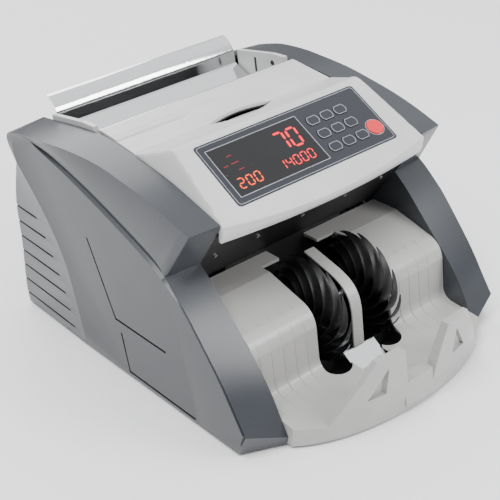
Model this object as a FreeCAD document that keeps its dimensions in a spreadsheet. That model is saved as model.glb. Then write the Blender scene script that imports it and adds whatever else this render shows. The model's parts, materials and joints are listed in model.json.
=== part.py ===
import FreeCAD, Part
import math
import os

import Sketcher
from FreeCAD import Placement, Rotation, Vector

# Banknote counting machine, in millimetres.
# +Z is up, the stacker faces -Y, and the origin is on the table under the middle of the machine.

doc = FreeCAD.newDocument("banknote_counter")
sheet = doc.addObject("Spreadsheet::Sheet", "dims")

DRIVING = [
    # the casing
    ("half_length", 190.0, "half the overall depth, front to back"),
    ("half_gap", 98.5, "half the clear width between the side covers"),
    ("half_width", 130.0, "half the overall width"),
    ("shell", 2.5, "wall of the moulded covers"),
    ("underside", 2.0, "height of the covers' lower edge above the table"),
    ("foot_height", 4.0, "height of the rubber feet"),
    ("foot_radius", 9.0, "radius of the rubber feet"),
    ("floor_sheet", 2.5, "thickness of the base tray's floor"),
    ("tray_rim", 10.0, "height of the base tray's rim"),
    ("fit_gap", 0.5, "gap between neighbouring covers"),
    ("front_wall", -108.0, "front of the base tray and the frames, along Y"),
    ("rear_panel", 171.0, "inner face of the rear cover, along Y"),
    # the display pod and its keypad
    ("pod_tilt", 32.0, "slope of the keypad face, in degrees"),
    ("pod_front", -97.0, "front edge of the keypad face, along Y"),
    ("pod_lip", 162.5, "height of the keypad face's front edge"),
    ("pod_parting", 5.0, "rear edge of the front panel, along Y"),
    ("bezel_width", 154.4, "width of the keypad bezel"),
    ("bezel_depth", 58.4, "depth of the keypad bezel, along its slope"),
    ("bezel_sheet", 1.6, "thickness of the bezel"),
    ("bezel_start", 7.0, "distance up the slope from the lip to the bezel"),
    ("bezel_corner", 3.0, "radius of the bezel's corners"),
    ("bezel_proud", 0.2, "how far the bezel stands out of the front panel"),
    ("window_width", 83.0, "width of the display window"),
    ("window_depth", 44.0, "depth of the display window, along the slope"),
    ("window_centre", -28.8, "middle of the display window, along X"),
    ("key_width", 11.4, "width of a function key"),
    ("key_depth", 8.2, "depth of a function key, along the slope"),
    ("key_thick", 3.0, "height of a key cap"),
    ("key_pitch_across", 13.6, "spacing of the keys along X"),
    ("key_pitch_up", 13.9, "spacing of the key rows, along the slope"),
    ("key_first", 24.2, "middle of the first column of keys, along X"),
    ("key_row_start", 14.0, "distance up the bezel to the first row of keys"),
    ("key_proud", 0.8, "how far a key stands out of the front panel"),
    ("key_play", 0.4, "gap round a key"),
    ("start_across", 66.2, "middle of the start button, along X"),
    ("start_up", 15.8, "distance up the bezel to the start button"),
    ("start_radius", 6.9, "radius of the start button"),
    ("start_proud", 1.2, "how far the start button stands out of the front panel"),
    # the hopper
    ("plate_sheet", 1.2, "thickness of the polished steel plates"),
    ("plate_half", 92.0, "half the width of the polished steel plates"),
    ("plate_top", 202.0, "top of the hopper's back plate"),
    ("wall_inner", 94.0, "inner face of the hopper's side walls, along X"),
    ("pin_across", 47.0, "hinge pin of the feed cover, along Y"),
    ("pin_up", 184.5, "hinge pin of the feed cover, along Z"),
    ("pin_radius", 2.0, "radius of the hinge pin"),
    ("running", 0.06, "radial clearance of a running fit"),
    # the stacker
    ("wheel_across", -85.5, "stacker shaft, along Y"),
    ("wheel_up", 55.0, "stacker shaft, along Z"),
    ("wheel_radius", 44.0, "radius to the tips of the stacker wheel's leaves"),
    ("wheel_inner", 17.0, "inner side of a stacker wheel, along X"),
    ("wheel_width", 18.0, "width of a stacker wheel"),
    ("hub_radius", 13.0, "radius of the stacker wheel's hub"),
    ("leaf_thick", 1.3, "thickness of a leaf"),
    ("leaf_count", 13.0, "number of leaves on a wheel"),
    ("leaf_sweep", 118.0, "angle that a leaf winds through from hub to tip, in degrees"),
    ("slot_half", 38.0, "outer edge of the wheel slots, along X"),
    ("strip_half", 4.9, "half the width of the centre strip"),
    # the mechanism
    ("frame_inner", 90.0, "inner face of the side frames, along X"),
    ("frame_sheet", 2.0, "thickness of the side frames"),
    ("shaft_radius", 4.0, "radius of the driven shafts"),
    ("bush_radius", 7.0, "outer radius of the shaft bushes"),
    ("belt_thick", 1.4, "thickness of the drive belts"),
    ("belt_width", 5.0, "width of the drive belts"),
    ("belt_seat", 0.3, "gap between a belt and its pulley"),
    ("feed_across", 40.0, "feed roller shaft, along Y"),
    ("feed_up", 128.0, "feed roller shaft, along Z"),
    ("feed_radius", 18.0, "radius of the feed rollers"),
    ("pickup_across", 82.0, "pickup roller shaft, along Y"),
    ("pickup_up", 142.0, "pickup roller shaft, along Z"),
    ("pickup_radius", 13.0, "radius of the pickup rollers"),
    ("transport_across", -16.0, "transport roller shaft, along Y"),
    ("transport_up", 77.0, "transport roller shaft, along Z"),
    ("transport_radius", 13.0, "radius of the transport rollers"),
    ("motor_across", 125.0, "motor axis, along Y"),
    ("motor_up", 32.0, "motor axis, along Z"),
    ("motor_radius", 18.0, "radius of the motor's can"),
    ("spindle_radius", 2.5, "radius of the motor's spindle"),
]

for row, (alias, value, meaning) in enumerate(DRIVING, start=1):
    sheet.set("A%d" % row, meaning)
    sheet.set("B%d" % row, str(value))
    sheet.setAlias("B%d" % row, alias)
doc.recompute()


class Size:
    """The sheet's cells, read by name."""

    def __getattr__(self, alias):
        return float(sheet.get(alias))


size = Size()
nodes = []


# ---------------------------------------------------------------- helpers


def bind(item, **expressions):
    """Tie an object's properties to the sheet. A double underscore stands for a dot."""
    for name, expression in expressions.items():
        item.setExpression(name.replace("__", "."), expression)
    return item


def keep(item, label):
    """Give a finished sub-part its name, which is also its file's name."""
    item.Label = label
    nodes.append(item)
    return item


def part_rod(radius, length, across, along, up, axis=Vector(1, 0, 0)):
    """A Part cylinder along an axis, from five expressions."""
    item = doc.addObject("Part::Cylinder", "rod")
    item.Placement = Placement(Vector(), Rotation(Vector(0, 0, 1), axis))
    bind(item, Radius=radius, Height=length)
    bind(item, Placement__Base__x=across, Placement__Base__y=along, Placement__Base__z=up)
    return item


def part_cut(base, tool):
    item = doc.addObject("Part::Cut", "cut")
    item.Base = base
    item.Tool = tool
    return item


def part_group(*pieces):
    """Separate solids that share one node."""
    item = doc.addObject("Part::Compound", "group")
    item.Links = list(pieces)
    return item


def computed(label, shape):
    item = doc.addObject("Part::Feature", label)
    item.Shape = shape
    item.Placement = shape.Placement
    return keep(item, label)


def outline(across, *stretches):
    """A closed wire at X = across. Each stretch is a list of (y, z): two points make a
    straight edge, and more make a smooth curve through them."""
    edges = []
    for stretch in stretches:
        points = [Vector(across, y, z) for y, z in stretch]
        if len(points) == 2:
            edges.append(Part.LineSegment(points[0], points[1]).toShape())
        else:
            curve = Part.BSplineCurve()
            curve.interpolate(points)
            edges.append(curve.toShape())
    return Part.Wire(edges)


def polygon(points):
    """The straight stretches of a closed outline."""
    return [[a, b] for a, b in zip(points, points[1:] + points[:1])]


def extruded(wire, width):
    return Part.Face(wire).extrude(Vector(width, 0, 0))


def slab(points, low, high):
    """A solid with a straight-sided YZ outline, between two values of X."""
    return extruded(outline(low, *polygon(points)), high - low)


def block(low, high):
    """A box shape between two corners."""
    low, high = Vector(*low), Vector(*high)
    return Part.makeBox(high.x - low.x, high.y - low.y, high.z - low.z, low)


def rod(radius, start, end):
    start, end = Vector(*start), Vector(*end)
    return Part.makeCylinder(radius, (end - start).Length, start, end - start)


def mirrored(shape):
    """The same shape on the other side of the machine."""
    return shape.mirror(Vector(), Vector(1, 0, 0))


def body_with(label):
    body = doc.addObject("PartDesign::Body", label)
    return keep(body, label)


def plane_of(body, role):
    return next(item for item in body.Origin.OriginFeatures if item.Role == role)


def sketch_on(body, role, name):
    sketch = body.newObject("Sketcher::SketchObject", name)
    sketch.AttachmentSupport = [(plane_of(body, role), "")]
    sketch.MapMode = "FlatFace"
    return sketch


def draw_loop(sketch, points):
    """Draw a closed loop of straight lines whose corners stay joined."""
    count = len(points)
    first = sketch.GeometryCount
    for index in range(count):
        start = Vector(*points[index], 0)
        end = Vector(*points[(index + 1) % count], 0)
        sketch.addGeometry(Part.LineSegment(start, end), False)
    for index in range(count):
        joined = first + (index + 1) % count
        sketch.addConstraint(Sketcher.Constraint("Coincident", first + index, 2, joined, 1))
    return first


def draw_rectangle(sketch, across, up, centre=(0, 0)):
    """A rectangle about a centre, its two sizes bound to expressions."""
    x, y = centre
    corners = [(x - 1, y - 1), (x + 1, y - 1), (x + 1, y + 1), (x - 1, y + 1)]
    first = draw_loop(sketch, corners)
    for line in (first, first + 2):
        sketch.addConstraint(Sketcher.Constraint("Horizontal", line))
    for line in (first + 1, first + 3):
        sketch.addConstraint(Sketcher.Constraint("Vertical", line))
    wide = sketch.addConstraint(Sketcher.Constraint("DistanceX", first, 1, first, 2, 2.0))
    tall = sketch.addConstraint(Sketcher.Constraint("DistanceY", first + 1, 1, first + 1, 2, 2.0))
    sketch.setExpression("Constraints[%d]" % wide, across)
    sketch.setExpression("Constraints[%d]" % tall, up)
    corner = Sketcher.Constraint("DistanceX", -1, 1, first, 1, x - 1)
    left = sketch.addConstraint(corner)
    low = sketch.addConstraint(Sketcher.Constraint("DistanceY", -1, 1, first, 1, y - 1))
    sketch.setExpression("Constraints[%d]" % left, "%s - (%s) / 2" % (x, across))
    sketch.setExpression("Constraints[%d]" % low, "%s - (%s) / 2" % (y, up))


def draw_circle(sketch, centre, radius):
    """A circle at a fixed place, its radius bound to an expression."""
    index = sketch.addGeometry(Part.Circle(Vector(*centre, 0), Vector(0, 0, 1), 1.0), False)
    bound = sketch.addConstraint(Sketcher.Constraint("Radius", index, 1.0))
    sketch.setExpression("Constraints[%d]" % bound, radius)


def pad(body, sketch, length, name="pad", backwards=False):
    feature = body.newObject("PartDesign::Pad", name)
    feature.Profile = sketch
    feature.Reversed = backwards
    feature.setExpression("Length", length)
    doc.recompute()
    return feature


def pocket(body, sketch, length, name="pocket", backwards=False):
    """Cut a sketch out of a body, and refuse a pocket that removes nothing."""
    before = body.Shape.Volume
    feature = body.newObject("PartDesign::Pocket", name)
    feature.Profile = sketch
    feature.Reversed = backwards
    feature.setExpression("Length", length)
    doc.recompute()
    if body.Shape.Volume > before - 1e-3:
        raise RuntimeError(body.Label + ": " + name + " cut nothing")
    return feature


# ---------------------------------------------------------------- side covers

GROOVE_DEPTH = 1.0
VENT_COUNT = 7
VENT_PITCH = 15.7
VENT_LOWEST = 12.0
VENT_HEIGHT = 3.0


def cover_outline(across, nose, front, top, toe):
    """The side cover seen from the side. The front band curves up to an undercut, the arm
    reaches forward over it, and the top band runs back to a rounded nose."""
    rear = [(top[-1][0], top[-1][1]), (149.5, 178.0), (151.5, 170.0), (144.0, 154.0)]
    back = [(144.0, 154.0), (162.0, 118.0), (178.0, 61.0), (size.half_length, 15.0)]
    corner = [back[-1], (size.half_length - 1.5, size.underside)]
    sole = [corner[-1], toe]
    return outline(across, front, [front[-1], nose], [nose, top[0]], top, rear, back, corner, sole,
                   [toe, front[0]])


def side_cover_shape():
    """The left cover, a shell that is open towards the middle behind the stacker."""
    inner_front = [(-145.5, 9.5), (-131.1, 39.9), (-112.8, 67.1), (-89.5, 97.4), (-64.2, 121.7)]
    outer_front = [(-137.3, 21.5), (-118.4, 56.1), (-98.1, 85.0), (-82.1, 103.7), (-62.1, 122.6)]
    inner_top = [(-96.2, 162.7), (-40.5, 179.8), (4.5, 187.7), (52.1, 193.0), (142.0, 185.0)]
    outer_top = [(-91.2, 161.2), (-42.9, 175.7), (14.1, 186.1), (73.5, 189.8), (142.0, 182.5)]
    inner = cover_outline(size.half_gap, (-94.5, 158.5), inner_front, inner_top,
                          (-142.6, size.underside))
    outer = cover_outline(size.half_width, (-91.0, 157.5), outer_front, outer_top,
                          (-128.0, size.underside))
    solid = Part.makeLoft([inner, outer], True, True)

    rear_corners = [(149.0, 176.0), (144.0, 154.0), (178.0, 61.0)]
    low_corners = [(188.0, size.underside), (-128.0, size.underside)]
    corners = outer_front + [(-91.0, 157.5)] + outer_top + rear_corners + low_corners
    core_line = outline(size.half_gap + size.shell, *polygon(corners)).makeOffset2D(-size.shell, 2)
    solid = solid.cut(extruded(core_line, size.half_width - size.half_gap - 2 * size.shell))
    solid = solid.cut(block((size.half_gap - 1, -30, 12), (size.half_gap + size.shell + 1, 135, 150)))

    for index in range(VENT_COUNT):
        middle = VENT_LOWEST + index * VENT_PITCH
        front = 98.0 + 0.0036 * (middle - VENT_LOWEST) ** 2
        slot = block((size.half_width - GROOVE_DEPTH, front, middle - VENT_HEIGHT / 2),
                     (size.half_width + 1, size.half_length, middle + VENT_HEIGHT / 2))
        solid = solid.cut(slot)
    return solid


def make_side_covers():
    right = side_cover_shape()
    computed("side_cover_right", right)
    computed("side_cover_left", mirrored(right))


# ---------------------------------------------------------------- base tray, feet and frames


def make_base_tray():
    """A folded sheet tray that carries the frames, the board and the transformer."""
    body = body_with("base_tray")
    middle = "(dims.front_wall + dims.rear_panel - dims.fit_gap) / 2"
    length = "dims.rear_panel - dims.fit_gap - dims.front_wall"
    body.setExpression("Placement.Base.y", middle)
    body.setExpression("Placement.Base.z", "dims.foot_height")
    plan = sketch_on(body, "XY_Plane", "plan")
    draw_rectangle(plan, "2 * (dims.half_gap - 1)", length)
    pad(body, plan, "dims.tray_rim")
    inside = sketch_on(body, "XY_Plane", "inside")
    inside.AttachmentOffset = Placement(Vector(0, 0, size.tray_rim), Rotation())
    inside.setExpression("AttachmentOffset.Base.z", "dims.tray_rim")
    draw_rectangle(inside, "2 * (dims.half_gap - 1) - 4", length + " - 4")
    pocket(body, inside, "dims.tray_rim - dims.floor_sheet")


def make_feet():
    """Four rubber feet in one node, each with a small chamfer at the table."""
    feet = []
    for across in (-82, 82):
        for along in (-90, 155):
            foot = doc.addObject("Part::Cone", "foot")
            bind(foot, Radius1="dims.foot_radius - 1", Radius2="dims.foot_radius",
                 Height="dims.foot_height")
            foot.Placement = Placement(Vector(across, along, 0), Rotation())
            feet.append(foot)
    keep(part_group(*feet), "rubber_feet")


def shaft_places():
    return [(size.wheel_across, size.wheel_up), (size.feed_across, size.feed_up),
            (size.pickup_across, size.pickup_up), (size.transport_across, size.transport_up)]


def frame_points():
    floor = size.foot_height + size.floor_sheet
    return [(-104, floor), (-104, 52), (-92, 68), (-60, 78), (-38, 80), (-30, 94), (-30, 150),
            (0, 166), (50, 166), (56, 144), (70, 144), (95, 152), (125, 140), (150, 116),
            (164, 60), (168, floor)]


def make_side_frames():
    """Two steel plates with a hole for each shaft's bush."""
    for side, label in ((-1, "side_frame_left"), (1, "side_frame_right")):
        body = body_with(label)
        near = "dims.frame_inner" if side > 0 else "-dims.frame_inner - dims.frame_sheet"
        body.setExpression("Placement.Base.x", near)
        plate = sketch_on(body, "YZ_Plane", "plate")
        draw_loop(plate, frame_points())
        pad(body, plate, "dims.frame_sheet")
        holes = sketch_on(body, "YZ_Plane", "holes")
        for place in shaft_places():
            draw_circle(holes, place, "dims.bush_radius")
        pocket(body, holes, "dims.frame_sheet", backwards=True)


def make_bushes():
    """Eight flanged bushes, one at each end of each shaft."""
    bushes = []
    for along, up in shaft_places():
        for side in (-1, 1):
            inner = side * (size.frame_inner - 1.0)
            outer = side * (size.frame_inner + size.frame_sheet)
            flange = rod(size.bush_radius + 2, (inner, along, up), (side * size.frame_inner, along, up))
            barrel = rod(size.bush_radius, (inner, along, up), (outer, along, up))
            bore = rod(size.shaft_radius + size.running, (inner - side, along, up),
                       (outer + side, along, up))
            bushes.append(flange.fuse(barrel).cut(bore).removeSplitter())
    computed("shaft_bushes", Part.makeCompound(bushes))


def make_cross_bars():
    """Three round bars that hold the side frames apart."""
    bars = []
    for along, up in (("-28", "24"), ("150", "88"), ("8", "150")):
        bars.append(part_rod("4", "2 * dims.frame_inner", "-dims.frame_inner", along, up))
    keep(part_group(*bars), "cross_bars")


# ---------------------------------------------------------------- driven shafts


def make_shaft(name, across, up):
    item = part_rod("dims.shaft_radius", "2 * (dims.frame_inner + dims.frame_sheet)",
                    "-dims.frame_inner - dims.frame_sheet", across, up)
    return keep(item, name)


def ring(outer, inner, low, length, across, up):
    """A cylinder with a bore, along X, from expressions."""
    solid = part_rod(outer, length, low, across, up)
    hole = part_rod(inner, "(%s) + 2" % length, "(%s) - 1" % low, across, up)
    return part_cut(solid, hole)


def make_rollers(name, outer, across, up, half_places, width):
    """Pairs of rubber rollers pressed on a shaft, in one node."""
    rings = []
    for place in half_places:
        for low in ("-%s - %s" % (place, width), place):
            rings.append(ring(outer, "dims.shaft_radius", low, width, across, up))
    keep(part_group(*rings), name)


def pulley_shape(radius, low, along, up, bore):
    """A belt pulley with a rim on each side of the belt, along X."""
    run = size.belt_width + 1.0
    wheel = rod(radius, (low, along, up), (low + run, along, up))
    for rim in (low - 1.0, low + run):
        wheel = wheel.fuse(rod(radius + 2.0, (rim, along, up), (rim + 1.0, along, up)))
    return wheel.cut(rod(bore, (low - 2, along, up), (low + run + 2, along, up))).removeSplitter()


BELT_OUTER = 81.5
BELT_INNER = 70.5


def make_driven_shafts():
    make_shaft("stacker_shaft", "dims.wheel_across", "dims.wheel_up")
    make_shaft("feed_shaft", "dims.feed_across", "dims.feed_up")
    make_shaft("transport_shaft", "dims.transport_across", "dims.transport_up")
    make_rollers("feed_rollers", "dims.feed_radius", "dims.feed_across", "dims.feed_up",
                 ("8", "42"), "16")
    make_rollers("pickup_rollers", "dims.pickup_radius", "dims.pickup_across", "dims.pickup_up",
                 ("20",), "18")
    make_rollers("transport_rollers", "dims.transport_radius", "dims.transport_across",
                 "dims.transport_up", ("45",), "16")
    stacker = (size.wheel_across, size.wheel_up)
    feed = (size.feed_across, size.feed_up)
    transport = (size.transport_across, size.transport_up)
    computed("stacker_pulley", pulley_shape(12, BELT_INNER, *stacker, size.shaft_radius))
    double = pulley_shape(8, BELT_INNER, *feed, size.shaft_radius)
    computed("feed_pulley", Part.makeCompound([pulley_shape(15, BELT_OUTER, *feed, size.shaft_radius),
                                               double]))
    pair = [pulley_shape(8, BELT_OUTER, *transport, size.shaft_radius),
            pulley_shape(7, BELT_INNER, *transport, size.shaft_radius)]
    computed("transport_pulley", Part.makeCompound(pair))
    along, up = size.pickup_across, size.pickup_up
    end = size.frame_inner + size.frame_sheet
    spindle = rod(size.shaft_radius, (-end, along, up), (end, along, up))
    pulley = pulley_shape(7, BELT_INNER, along, up, size.shaft_radius)
    computed("pickup_shaft", spindle.fuse(pulley).removeSplitter())


def belt_face(circles, grow):
    """The face inside a tight belt round several pulleys, each (y, z, radius)."""
    discs = []
    for along, up, radius in circles:
        wire = Part.Wire(Part.makeCircle(radius + grow, Vector(0, along, up), Vector(1, 0, 0)))
        discs.append(Part.Face(wire))
    face = discs[0].fuse(discs[1:])
    count = len(circles)
    pairs = [(a, b) for a in range(count) for b in range(a + 1, count)]
    for a, b in pairs:
        face = face.fuse(tangent_quad(circles[a], circles[b], grow))
    if count == 3:
        centres = [Vector(0, y, z) for y, z, _ in circles]
        face = face.fuse(Part.Face(Part.makePolygon(centres + centres[:1])))
    return face.removeSplitter()


def tangent_quad(first, second, grow):
    """The four-cornered face between two circles' outer tangents."""
    ya, za, ra = first
    yb, zb, rb = second
    ra, rb = ra + grow, rb + grow
    span = math.hypot(yb - ya, zb - za)
    heading = math.atan2(zb - za, yb - ya)
    lean = math.acos((ra - rb) / span)
    corners = []
    for turn, (y, z, radius) in ((lean, (ya, za, ra)), (lean, (yb, zb, rb)),
                                 (-lean, (yb, zb, rb)), (-lean, (ya, za, ra))):
        angle = heading + turn
        corners.append(Vector(0, y + radius * math.cos(angle), z + radius * math.sin(angle)))
    return Part.Face(Part.makePolygon(corners + corners[:1]))


def make_belt(name, circles, low):
    outer = belt_face(circles, size.belt_seat + size.belt_thick)
    inner = belt_face(circles, size.belt_seat)
    loop = outer.cut(inner).extrude(Vector(size.belt_width, 0, 0))
    loop.translate(Vector(low + 0.5, 0, 0))
    computed(name, max(loop.Solids, key=lambda solid: solid.Volume))


def make_belts():
    stacker = (size.wheel_across, size.wheel_up, 12)
    motor = (size.motor_across, size.motor_up, 7)
    make_belt("main_belt", [motor, (size.feed_across, size.feed_up, 15),
                            (size.transport_across, size.transport_up, 8)], BELT_OUTER)
    make_belt("stacker_belt", [stacker, (size.transport_across, size.transport_up, 7)], BELT_INNER)
    make_belt("pickup_belt", [(size.feed_across, size.feed_up, 8),
                              (size.pickup_across, size.pickup_up, 7)], BELT_INNER)


def make_motor():
    """The motor's can on a saddle, and the pulley on its spindle."""
    along, up = size.motor_across, size.motor_up
    floor = size.foot_height + size.floor_sheet
    low, high = 18.0, 76.0
    can = rod(size.motor_radius, (low, along, up), (high, along, up))
    saddle = block((low + 6, along - 14, floor), (high - 6, along + 14, up))
    boss = rod(7, (high, along, up), (high + 2, along, up))
    bore = rod(size.spindle_radius + size.running, (high - 10, along, up), (high + 4, along, up))
    computed("main_motor", can.fuse([saddle, boss]).cut(bore).removeSplitter())
    spindle = rod(size.spindle_radius, (high - 8, along, up), (high + 12, along, up))
    pulley = pulley_shape(7, BELT_OUTER, along, up, size.spindle_radius)
    computed("motor_pulley", pulley.fuse(spindle).removeSplitter())


# ---------------------------------------------------------------- stacker wheels


def leaf_point(share):
    """A point of a leaf's outer face, from its root in the hub (0) to its tip (1)."""
    reach = size.wheel_radius - size.hub_radius + 0.6
    radius = size.wheel_radius - reach * (1 - share) ** 1.55
    angle = math.radians(180 - size.leaf_sweep * share)
    return Vector(0, radius * math.cos(angle), radius * math.sin(angle))


def leaf_face(across):
    """One long curved leaf at X = across. It winds out of the hub and ends level with the rim."""
    outer = []
    inner = []
    for step in range(9):
        share = step / 8
        here = leaf_point(share)
        way = leaf_point(min(share + 0.01, 1)) - leaf_point(max(share - 0.01, 0))
        inward = way.cross(Vector(1, 0, 0)).normalize()
        if inward.dot(here) > 0:
            inward = inward * -1
        thick = size.leaf_thick * (1 - 0.4 * share)
        outer.append((here.y, here.z))
        inner.append((here.y + inward.y * thick, here.z + inward.z * thick))
    return Part.Face(outline(across, outer, [outer[-1], inner[-1]], inner[::-1], [inner[0], outer[0]]))


def stacker_wheel_shape():
    """A hub and its ring of flexible leaves, the right-hand wheel."""
    low = size.wheel_inner
    high = low + size.wheel_width
    centre = Vector(0, size.wheel_across, size.wheel_up)
    wheel = rod(size.hub_radius, (low, 0, 0), (high, 0, 0))
    leaf = leaf_face(low).extrude(Vector(size.wheel_width, 0, 0))
    leaves = []
    for index in range(int(size.leaf_count)):
        turned = leaf.copy()
        turned.rotate(Vector(), Vector(1, 0, 0), index * 360.0 / size.leaf_count)
        leaves.append(turned)
    wheel = wheel.fuse(leaves)
    wheel = wheel.cut(rod(size.shaft_radius, (low - 1, 0, 0), (high + 1, 0, 0)))
    wheel.translate(centre)
    return wheel


def make_stacker_wheels():
    right = stacker_wheel_shape()
    computed("stacker_wheel_right", right)
    computed("stacker_wheel_left", mirrored(right))


# ---------------------------------------------------------------- stacker tray


# the lip's front edge at its foot, placed so that the leaning fingers end at the overall depth
LIP_CENTRE = -177.43
LIP_CURVE = [(0.0, LIP_CENTRE), (45.0, LIP_CENTRE + 4.7), (73.0, LIP_CENTRE + 13.5),
             (98.0, LIP_CENTRE + 29.5)]
LIP_LEAN = Vector(0, -0.2, 1)
TRAY_UNDERSIDE = 2.5


def tray_outline(across, inset):
    """The tray seen from the side: deck, shoulder, wall, floor and lip."""
    wall = -114.0 + inset
    points = [(-37.5 - inset, 89.0 - inset), (-64.3, 88.0 - inset), (-99.0 + inset / 2, 77.0 - inset),
              (wall, 60.0), (wall, 33.0), (-122.0, 23.0 - inset), (-196.0, 13.5 - inset),
              (-196.0, TRAY_UNDERSIDE + inset), (-37.5 - inset, TRAY_UNDERSIDE + inset)]
    deck = [points[0], points[1]]
    slope = [points[1], points[2]]
    shoulder = [points[2], (-109.5 + inset * 0.8, 71.0 - inset * 0.7), points[3]]
    upright = [points[3], points[4]]
    foot = [points[4], (-116.2 + inset * 0.4, 26.5 - inset * 0.6), points[5]]
    return outline(across, deck, slope, shoulder, upright, foot, [points[5], points[6]],
                   [points[6], points[7]], [points[7], points[8]], [points[8], points[0]])


def bowed_edge(points):
    """A smooth edge through (x, y) points of the plan."""
    curve = Part.BSplineCurve()
    curve.interpolate([Vector(x, y, 0) for x, y in points])
    return curve.toShape()


def bowed_prism(front_points, rear, low, lean, height):
    """A prism with a bowed front and a straight rear. Its plan is drawn at Z = low, and it rises
    along a leaning direction."""
    front = bowed_edge(front_points)
    left, right = front.Vertexes[0].Point, front.Vertexes[-1].Point
    rear_left, rear_right = Vector(left.x, rear, 0), Vector(right.x, rear, 0)
    sides = [Part.LineSegment(right, rear_right), Part.LineSegment(rear_right, rear_left),
             Part.LineSegment(rear_left, left)]
    plan = Part.Face(Part.Wire([front] + [side.toShape() for side in sides]))
    plan.translate(Vector(0, 0, low))
    return plan.extrude(lean * height)


def plan_prism(front_inset, side_inset):
    """The tray's plan, with straight sides and a bowed front that leans forwards."""
    half = size.half_gap - size.fit_gap - side_inset
    right_half = [(x * half / LIP_CURVE[-1][0], y + front_inset) for x, y in LIP_CURVE]
    left_half = [(-x, y) for x, y in right_half[:0:-1]]
    return bowed_prism(left_half + right_half, 0, 0, LIP_LEAN, 100)


def finger_shape():
    """The right-hand finger of the lip: it leans with the lip, thins outwards and has a
    three-cornered window."""
    face_points = [(13.0, 8.0), (15.0, 34.0), (22.0, 65.5), (46.0, 65.5), (80.0, 12.0), (80.0, 8.0)]
    hole_points = [(34.0, 30.5), (34.6, 55.0), (50.0, 30.5)]
    bow = [(5.0, 0.0, 10.5), (45.0, 4.7, 4.7), (73.0, 13.5, 3.7), (90.0, 23.0, 3.5)]
    front = bowed_edge([(x, LIP_CENTRE + setback) for x, setback, _ in bow])
    back = bowed_edge([(x, LIP_CENTRE + setback + thick) for x, setback, thick in bow])
    ends = [Part.LineSegment(front.Vertexes[side].Point, back.Vertexes[side].Point).toShape()
            for side in (0, -1)]
    slab_face = Part.Face(Part.Wire(Part.__sortEdges__([front, back] + ends)))
    plate = slab_face.extrude(LIP_LEAN * 80)

    def prism(points):
        wire = Part.makePolygon([Vector(x, -200, z) for x, z in points + points[:1]])
        return Part.Face(wire).extrude(Vector(0, 60, 0))

    return plate.common(prism(face_points)).cut(prism(hole_points))


DEFLECTOR_HALF = 15.8
DEFLECTOR_FRONT = -136.5
DEFLECTOR_FOOT = (-135.8, 15.2)
DEFLECTOR_SHEET = 1.0


def stacker_tray_shape():
    half = size.half_gap - size.fit_gap
    solid = extruded(tray_outline(-half, 0), 2 * half).common(plan_prism(0, 0))
    hollow = extruded(tray_outline(-half, size.shell), 2 * half)
    solid = solid.cut(hollow.common(plan_prism(size.shell, size.shell)))
    # the tray is open below, inside its rim
    below = block((-half, -200, -1), (half, -30, TRAY_UNDERSIDE + 2 * size.shell))
    solid = solid.cut(below.common(plan_prism(size.shell, size.shell)))
    # the deck and its shoulder are open below and behind for the mechanism
    solid = solid.cut(block((-half + size.shell, -110, 0), (half - size.shell, -30, 30)))
    solid = solid.cut(block((-half + size.shell, -41, 30), (half - size.shell, -30, 86)))
    solid = solid.cut(block((-half - 1, size.front_wall - 2, 0), (half + 1, -30, 20)))
    # one wide opening for the two wheels, narrower where it meets the rear edge
    solid = solid.cut(block((-size.slot_half, -118, 26), (size.slot_half, -53.3, 100)))
    solid = solid.cut(block((-19.7, -60, 80), (19.7, -30, 100)))
    for side in (-1, 1):
        ends = sorted((side * 14.5, side * size.slot_half))
        middle = side * (14.5 + size.slot_half) / 2
        reach = (size.slot_half - 14.5) / 2
        solid = solid.cut(block((ends[0], -120, 7), (ends[1], -105, 30)))
        solid = solid.cut(rod(reach, (middle, -120, 7), (middle, -120, 30)))
    solid = solid.cut(block((-DEFLECTOR_HALF, DEFLECTOR_FRONT, 14), (DEFLECTOR_HALF, -105, 40)))
    ledge = block((-14.5, LIP_CENTRE - 3, 8), (14.5, LIP_CENTRE + 7, 29))
    finger = finger_shape()
    solid = solid.fuse([ledge, finger, mirrored(finger)])
    return solid.cut(block((-120, -200, -50), (120, 0, TRAY_UNDERSIDE))).removeSplitter()


def make_stacker():
    computed("stacker_tray", stacker_tray_shape())
    # the strip between the wheels follows the deck and the wall, with a leg down to the base
    thick = 2.0
    path = [(-66.0, 91.0), (-98.0, 81.0), (-109.0, 75.0), (-115.5, 62.0), (-115.5, 27.0)]
    under = [(-115.5 + thick, 27.0), (-115.5 + thick, 62.0), (-107.6, 73.4), (-97.2, 79.0),
             (-66.0, 88.8)]
    floor = size.foot_height + size.floor_sheet
    strip = slab(path + under, -size.strip_half, size.strip_half)
    leg = block((-size.strip_half, -68.0, floor), (size.strip_half, -66.0, 90.2))
    computed("centre_strip", strip.fuse(leg).removeSplitter())
    # a steel sheet slopes from the foot of the strip down to the floor
    sheet_line = [(-113.8, 26.5), (-121.0, 22.4), (-127.5, 18.6), DEFLECTOR_FOOT]
    lower_line = [(y, z - DEFLECTOR_SHEET) for y, z in sheet_line[::-1]]
    plate = outline(-DEFLECTOR_HALF, sheet_line, [sheet_line[-1], lower_line[0]], lower_line,
                    [lower_line[-1], sheet_line[0]])
    computed("deflector_plate", extruded(plate, 2 * DEFLECTOR_HALF))


# ---------------------------------------------------------------- display pod


def pod_face_point(up_slope, lift=0.0):
    """(y, z) of a point on the keypad face, up the slope from its front edge."""
    tilt = math.radians(size.pod_tilt)
    return (size.pod_front + up_slope * math.cos(tilt) - lift * math.sin(tilt),
            size.pod_lip + up_slope * math.sin(tilt) + lift * math.cos(tilt))


def on_pod(across, up_slope, lift=0.0):
    """A placement on the keypad face: local X across, Y up the slope, Z out of it."""
    along, up = pod_face_point(up_slope, lift)
    return Placement(Vector(across, along, up), Rotation(Vector(1, 0, 0), size.pod_tilt))


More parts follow.
